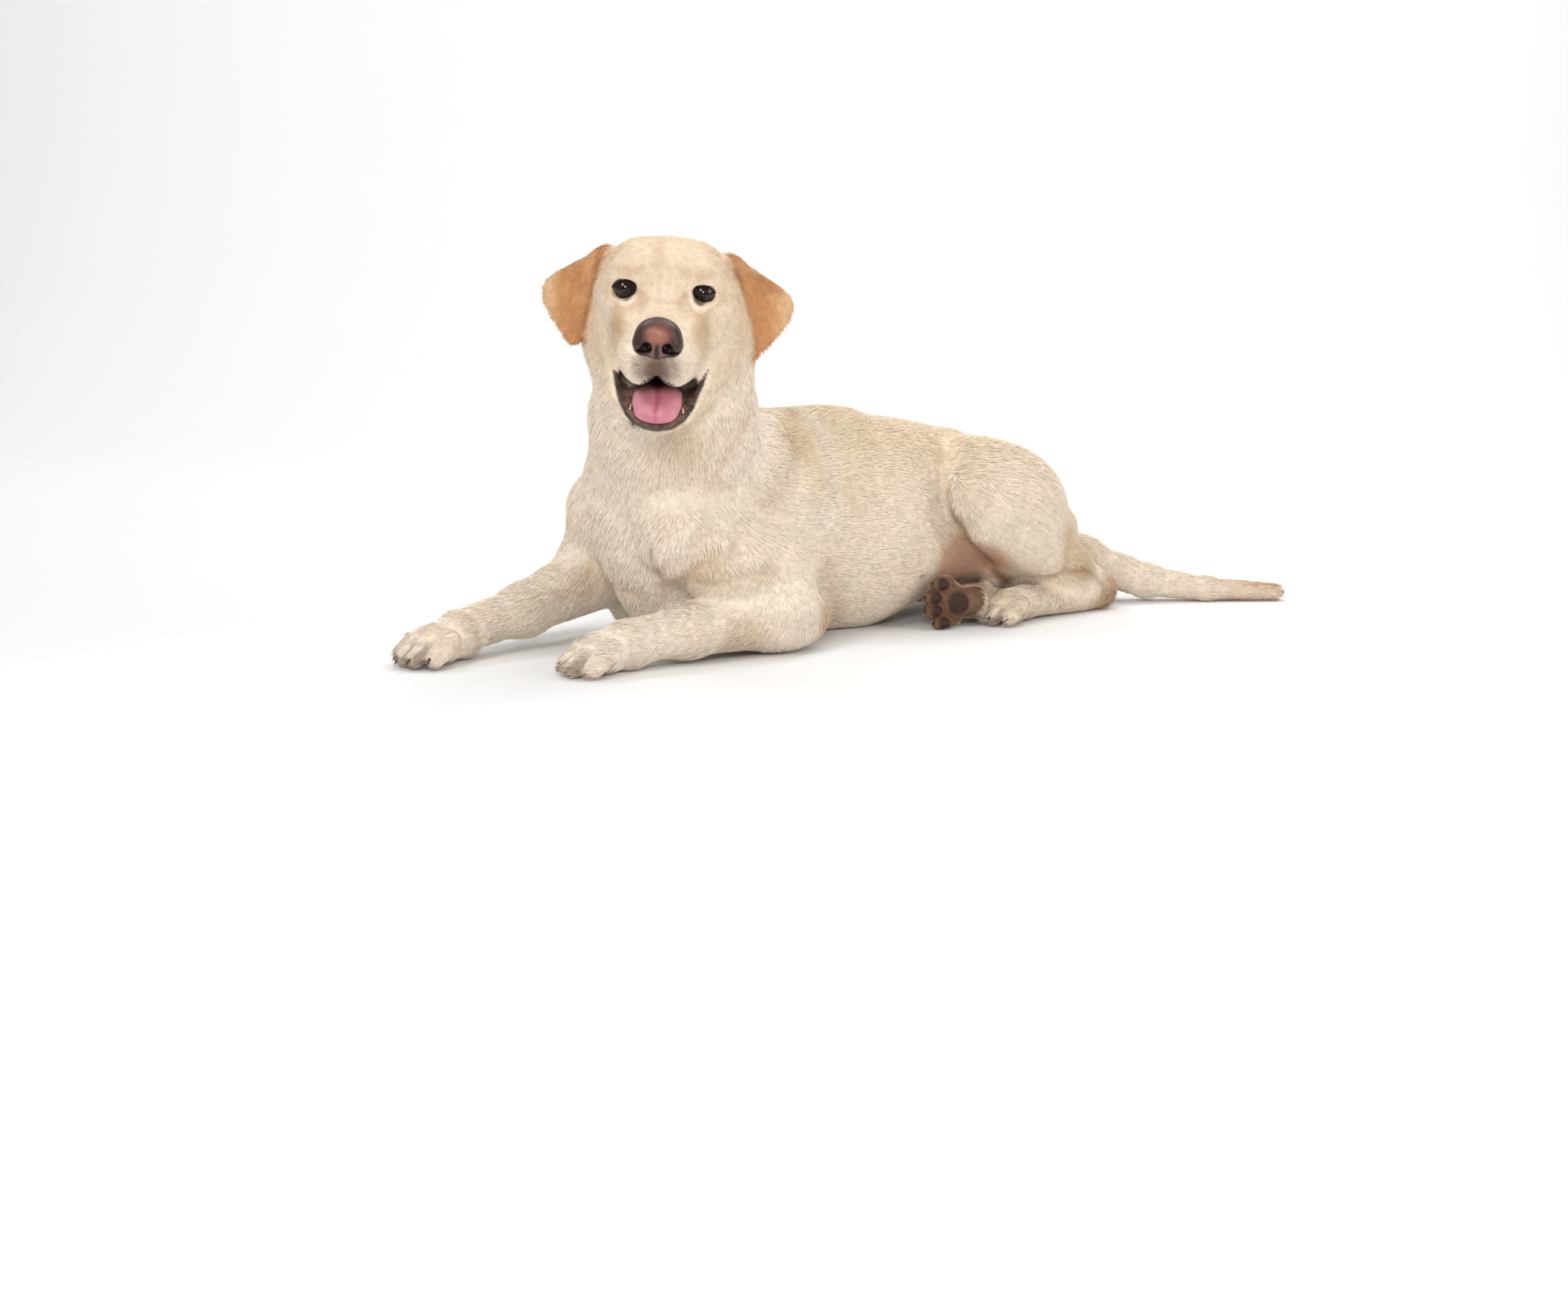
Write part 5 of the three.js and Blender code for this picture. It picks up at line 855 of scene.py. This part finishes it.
for s in (1, -1):
    teeth.append(tube(bezier(H([44, s * 26, -122]), H([50, s * 27.5, -114]), H([48, s * 25.5, -104]), 9), [3.0, 2.9, 2.7, 2.4, 2.1, 1.7, 1.2, 0.8, 0.4]))
    for x, y, z, h, r in ((41, 29, -112, 6.5, 3.0), (34, 34, -106, 7.5, 3.4), (26, 37.5, -101, 8, 3.8), (17, 40, -96, 9, 4.2)):
        teeth.append(tube(bezier(H([x, s * y, z - 5]), H([x, s * y, z]), H([x - 1, s * (y - 1.5), z + h - 2]), 6), [r, r * 0.98, r * 0.85, r * 0.62, r * 0.36, r * 0.12]))
for i in range(-2, 4):
    t = (i - 0.5) * 4.0; teeth.append(tube(bezier(H([56 - abs(t) * 0.35, t, -125]), H([57 - abs(t) * 0.35, t, -121]), H([57 - abs(t) * 0.35, t, -118]), 5), [1.9, 1.9, 1.8, 1.5, 0.9]))
ob = joined("lower_teeth", teeth); c = np.tile(lin(206, 190, 162), (len(ob.data.vertices), 1)); set_colour(ob.data, c, "own_colour")
tooth_mat = simple_material("tooth_enamel", "own_colour", 0.2, 260, 0.9, 1.04, 0.15, 0.0003, Coat_Weight=0.4, Coat_Roughness=0.1)
ob.data.materials.append(tooth_mat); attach(ob, "root")

# ---- claws -----------------------------------------------------------------------
items = []
for a, b, t, r in CLAWS: items.append(tube(bezier(a + (a - b) * 0.4, b + np.array([0, 0, r * 0.7]), t, 9), np.array([1.0, 1.02, 1.0, 0.93, 0.82, 0.68, 0.5, 0.32, 0.14]) * r * 0.94, 12, 0.8))
ob = joined("claw_horn", items); v = len(ob.data.vertices); k = np.tile(np.concatenate([np.repeat(np.linspace(0, 1, 9), 12), [0, 1]]), len(CLAWS))
c = mix(np.tile(lin(52, 38, 32), (v, 1)), lin(120, 98, 80), sstep(k, 0.55, 1.0) * 0.6); set_colour(ob.data, c, "own_colour")
claw_mat = simple_material("claw_horn", "own_colour", 0.36, 380, 0.8, 1.15, 0.35, 0.0004)
ob.data.materials.append(claw_mat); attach(ob, "root"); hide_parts(*[n for n in frame["nodes"] if "claw" in n])
print("details", round(time.time() - T0, 1), "s")

# ---- floor, backdrop, light, camera ---------------------------------------------------
def stage_material(name, shade, rough):
    m, N, L, b = material(name, rough)
    t = N.new("ShaderNodeTexCoord"); n = N.new("ShaderNodeTexNoise"); n.inputs["Scale"].default_value = 3; n.inputs["Detail"].default_value = 4
    L.new(t.outputs["Object"], n.inputs["Vector"]); r = N.new("ShaderNodeValToRGB"); r.color_ramp.elements[0].color = (shade * 0.985,) * 3 + (1,); r.color_ramp.elements[1].color = (shade,) * 3 + (1,)
    L.new(n.outputs["Fac"], r.inputs["Fac"]); L.new(r.outputs["Color"], b.inputs["Base Color"])
    u = N.new("ShaderNodeBump"); u.inputs["Strength"].default_value = 0.04; u.inputs["Distance"].default_value = 0.001
    L.new(n.outputs["Fac"], u.inputs["Height"]); L.new(u.outputs["Normal"], b.inputs["Normal"]); return m
look = np.array([0.559, 0.829]); side2 = np.array([0.829, -0.559]); prof = []
for i in range(9): prof.append((-5.0 + i * (7.2 / 8), 0.0))
for i in range(1, 17): a = math.pi / 2 * i / 16; prof.append((2.2 + 2.0 * math.sin(a), 2.0 - 2.0 * math.cos(a)))
prof += [(4.2, 4.0), (4.2, 6.0)]
V = []; wn = 13
for d, z in prof:
    for j in range(wn): p = look * d + side2 * (j - 6) * 1.2; V.append((p[0], p[1], z))
F = [(i * wn + j, i * wn + j + 1, (i + 1) * wn + j + 1, (i + 1) * wn + j) for i in range(len(prof) - 1) for j in range(wn - 1)]
bm = bpy.data.meshes.new("studio_sweep"); bm.from_pydata(V, [], F); bm.update(); bm.polygons.foreach_set("use_smooth", [True] * len(F)); sweep = bpy.data.objects.new("studio_sweep", bm); bpy.context.collection.objects.link(sweep)
bm.materials.append(stage_material("studio_paper", 0.9, 0.9))
def area(name, at, target, size, power, colour=(1, 1, 1)):
    l = bpy.data.lights.new(name, "AREA"); l.shape = "DISK"; l.size = size; l.energy = power; l.color = colour
    o = bpy.data.objects.new(name, l); bpy.context.collection.objects.link(o); o.location = at
    o.rotation_euler = (Vector(target) - Vector(at)).to_track_quat("-Z", "Y").to_euler(); return o
CAM = out(SIGHT)
area("key", (-1.04, -1.32, 0.80), (-0.3, -0.1, 0.33), 0.46, 8)
area("upper_left", (-1.9, -0.9, 1.7), (-0.1, 0, 0.15), 0.8, 16, (1, 0.99, 0.975))
area("top", (0.3, -0.1, 2.3), (0.05, 0, 0), 2.0, 17.5)
area("right", (1.3, -1.9, 1.1), (0.1, 0, 0.15), 1.4, 14)
area("wash_left", (-0.9, 2.2, 3.4), (1.6, 3.6, 0.6), 1.6, 60)
area("wash_right", (2.6, 0.4, 3.4), (3.4, 2.2, 0.6), 1.6, 60)
w = bpy.data.worlds.new("studio"); w.use_nodes = True; w.node_tree.nodes["Background"].inputs["Color"].default_value = (1, 0.985, 0.965, 1); w.node_tree.nodes["Background"].inputs["Strength"].default_value = 0.3
bpy.context.scene.world = w
bpy.context.scene.view_settings.view_transform = "Standard"
cd = bpy.data.cameras.new("camera"); cd.lens = 43.2; cd.sensor_width = 36.0; cd.clip_start = 0.02; cd.clip_end = 50
cam = bpy.data.objects.new("camera", cd); bpy.context.collection.objects.link(cam); cam.location = CAM
pd = math.radians(11.207); cam.rotation_euler = Vector((0.559 * math.cos(pd), 0.829 * math.cos(pd), -math.sin(pd))).to_track_quat("-Z", "Y").to_euler()
bpy.context.scene.camera = cam
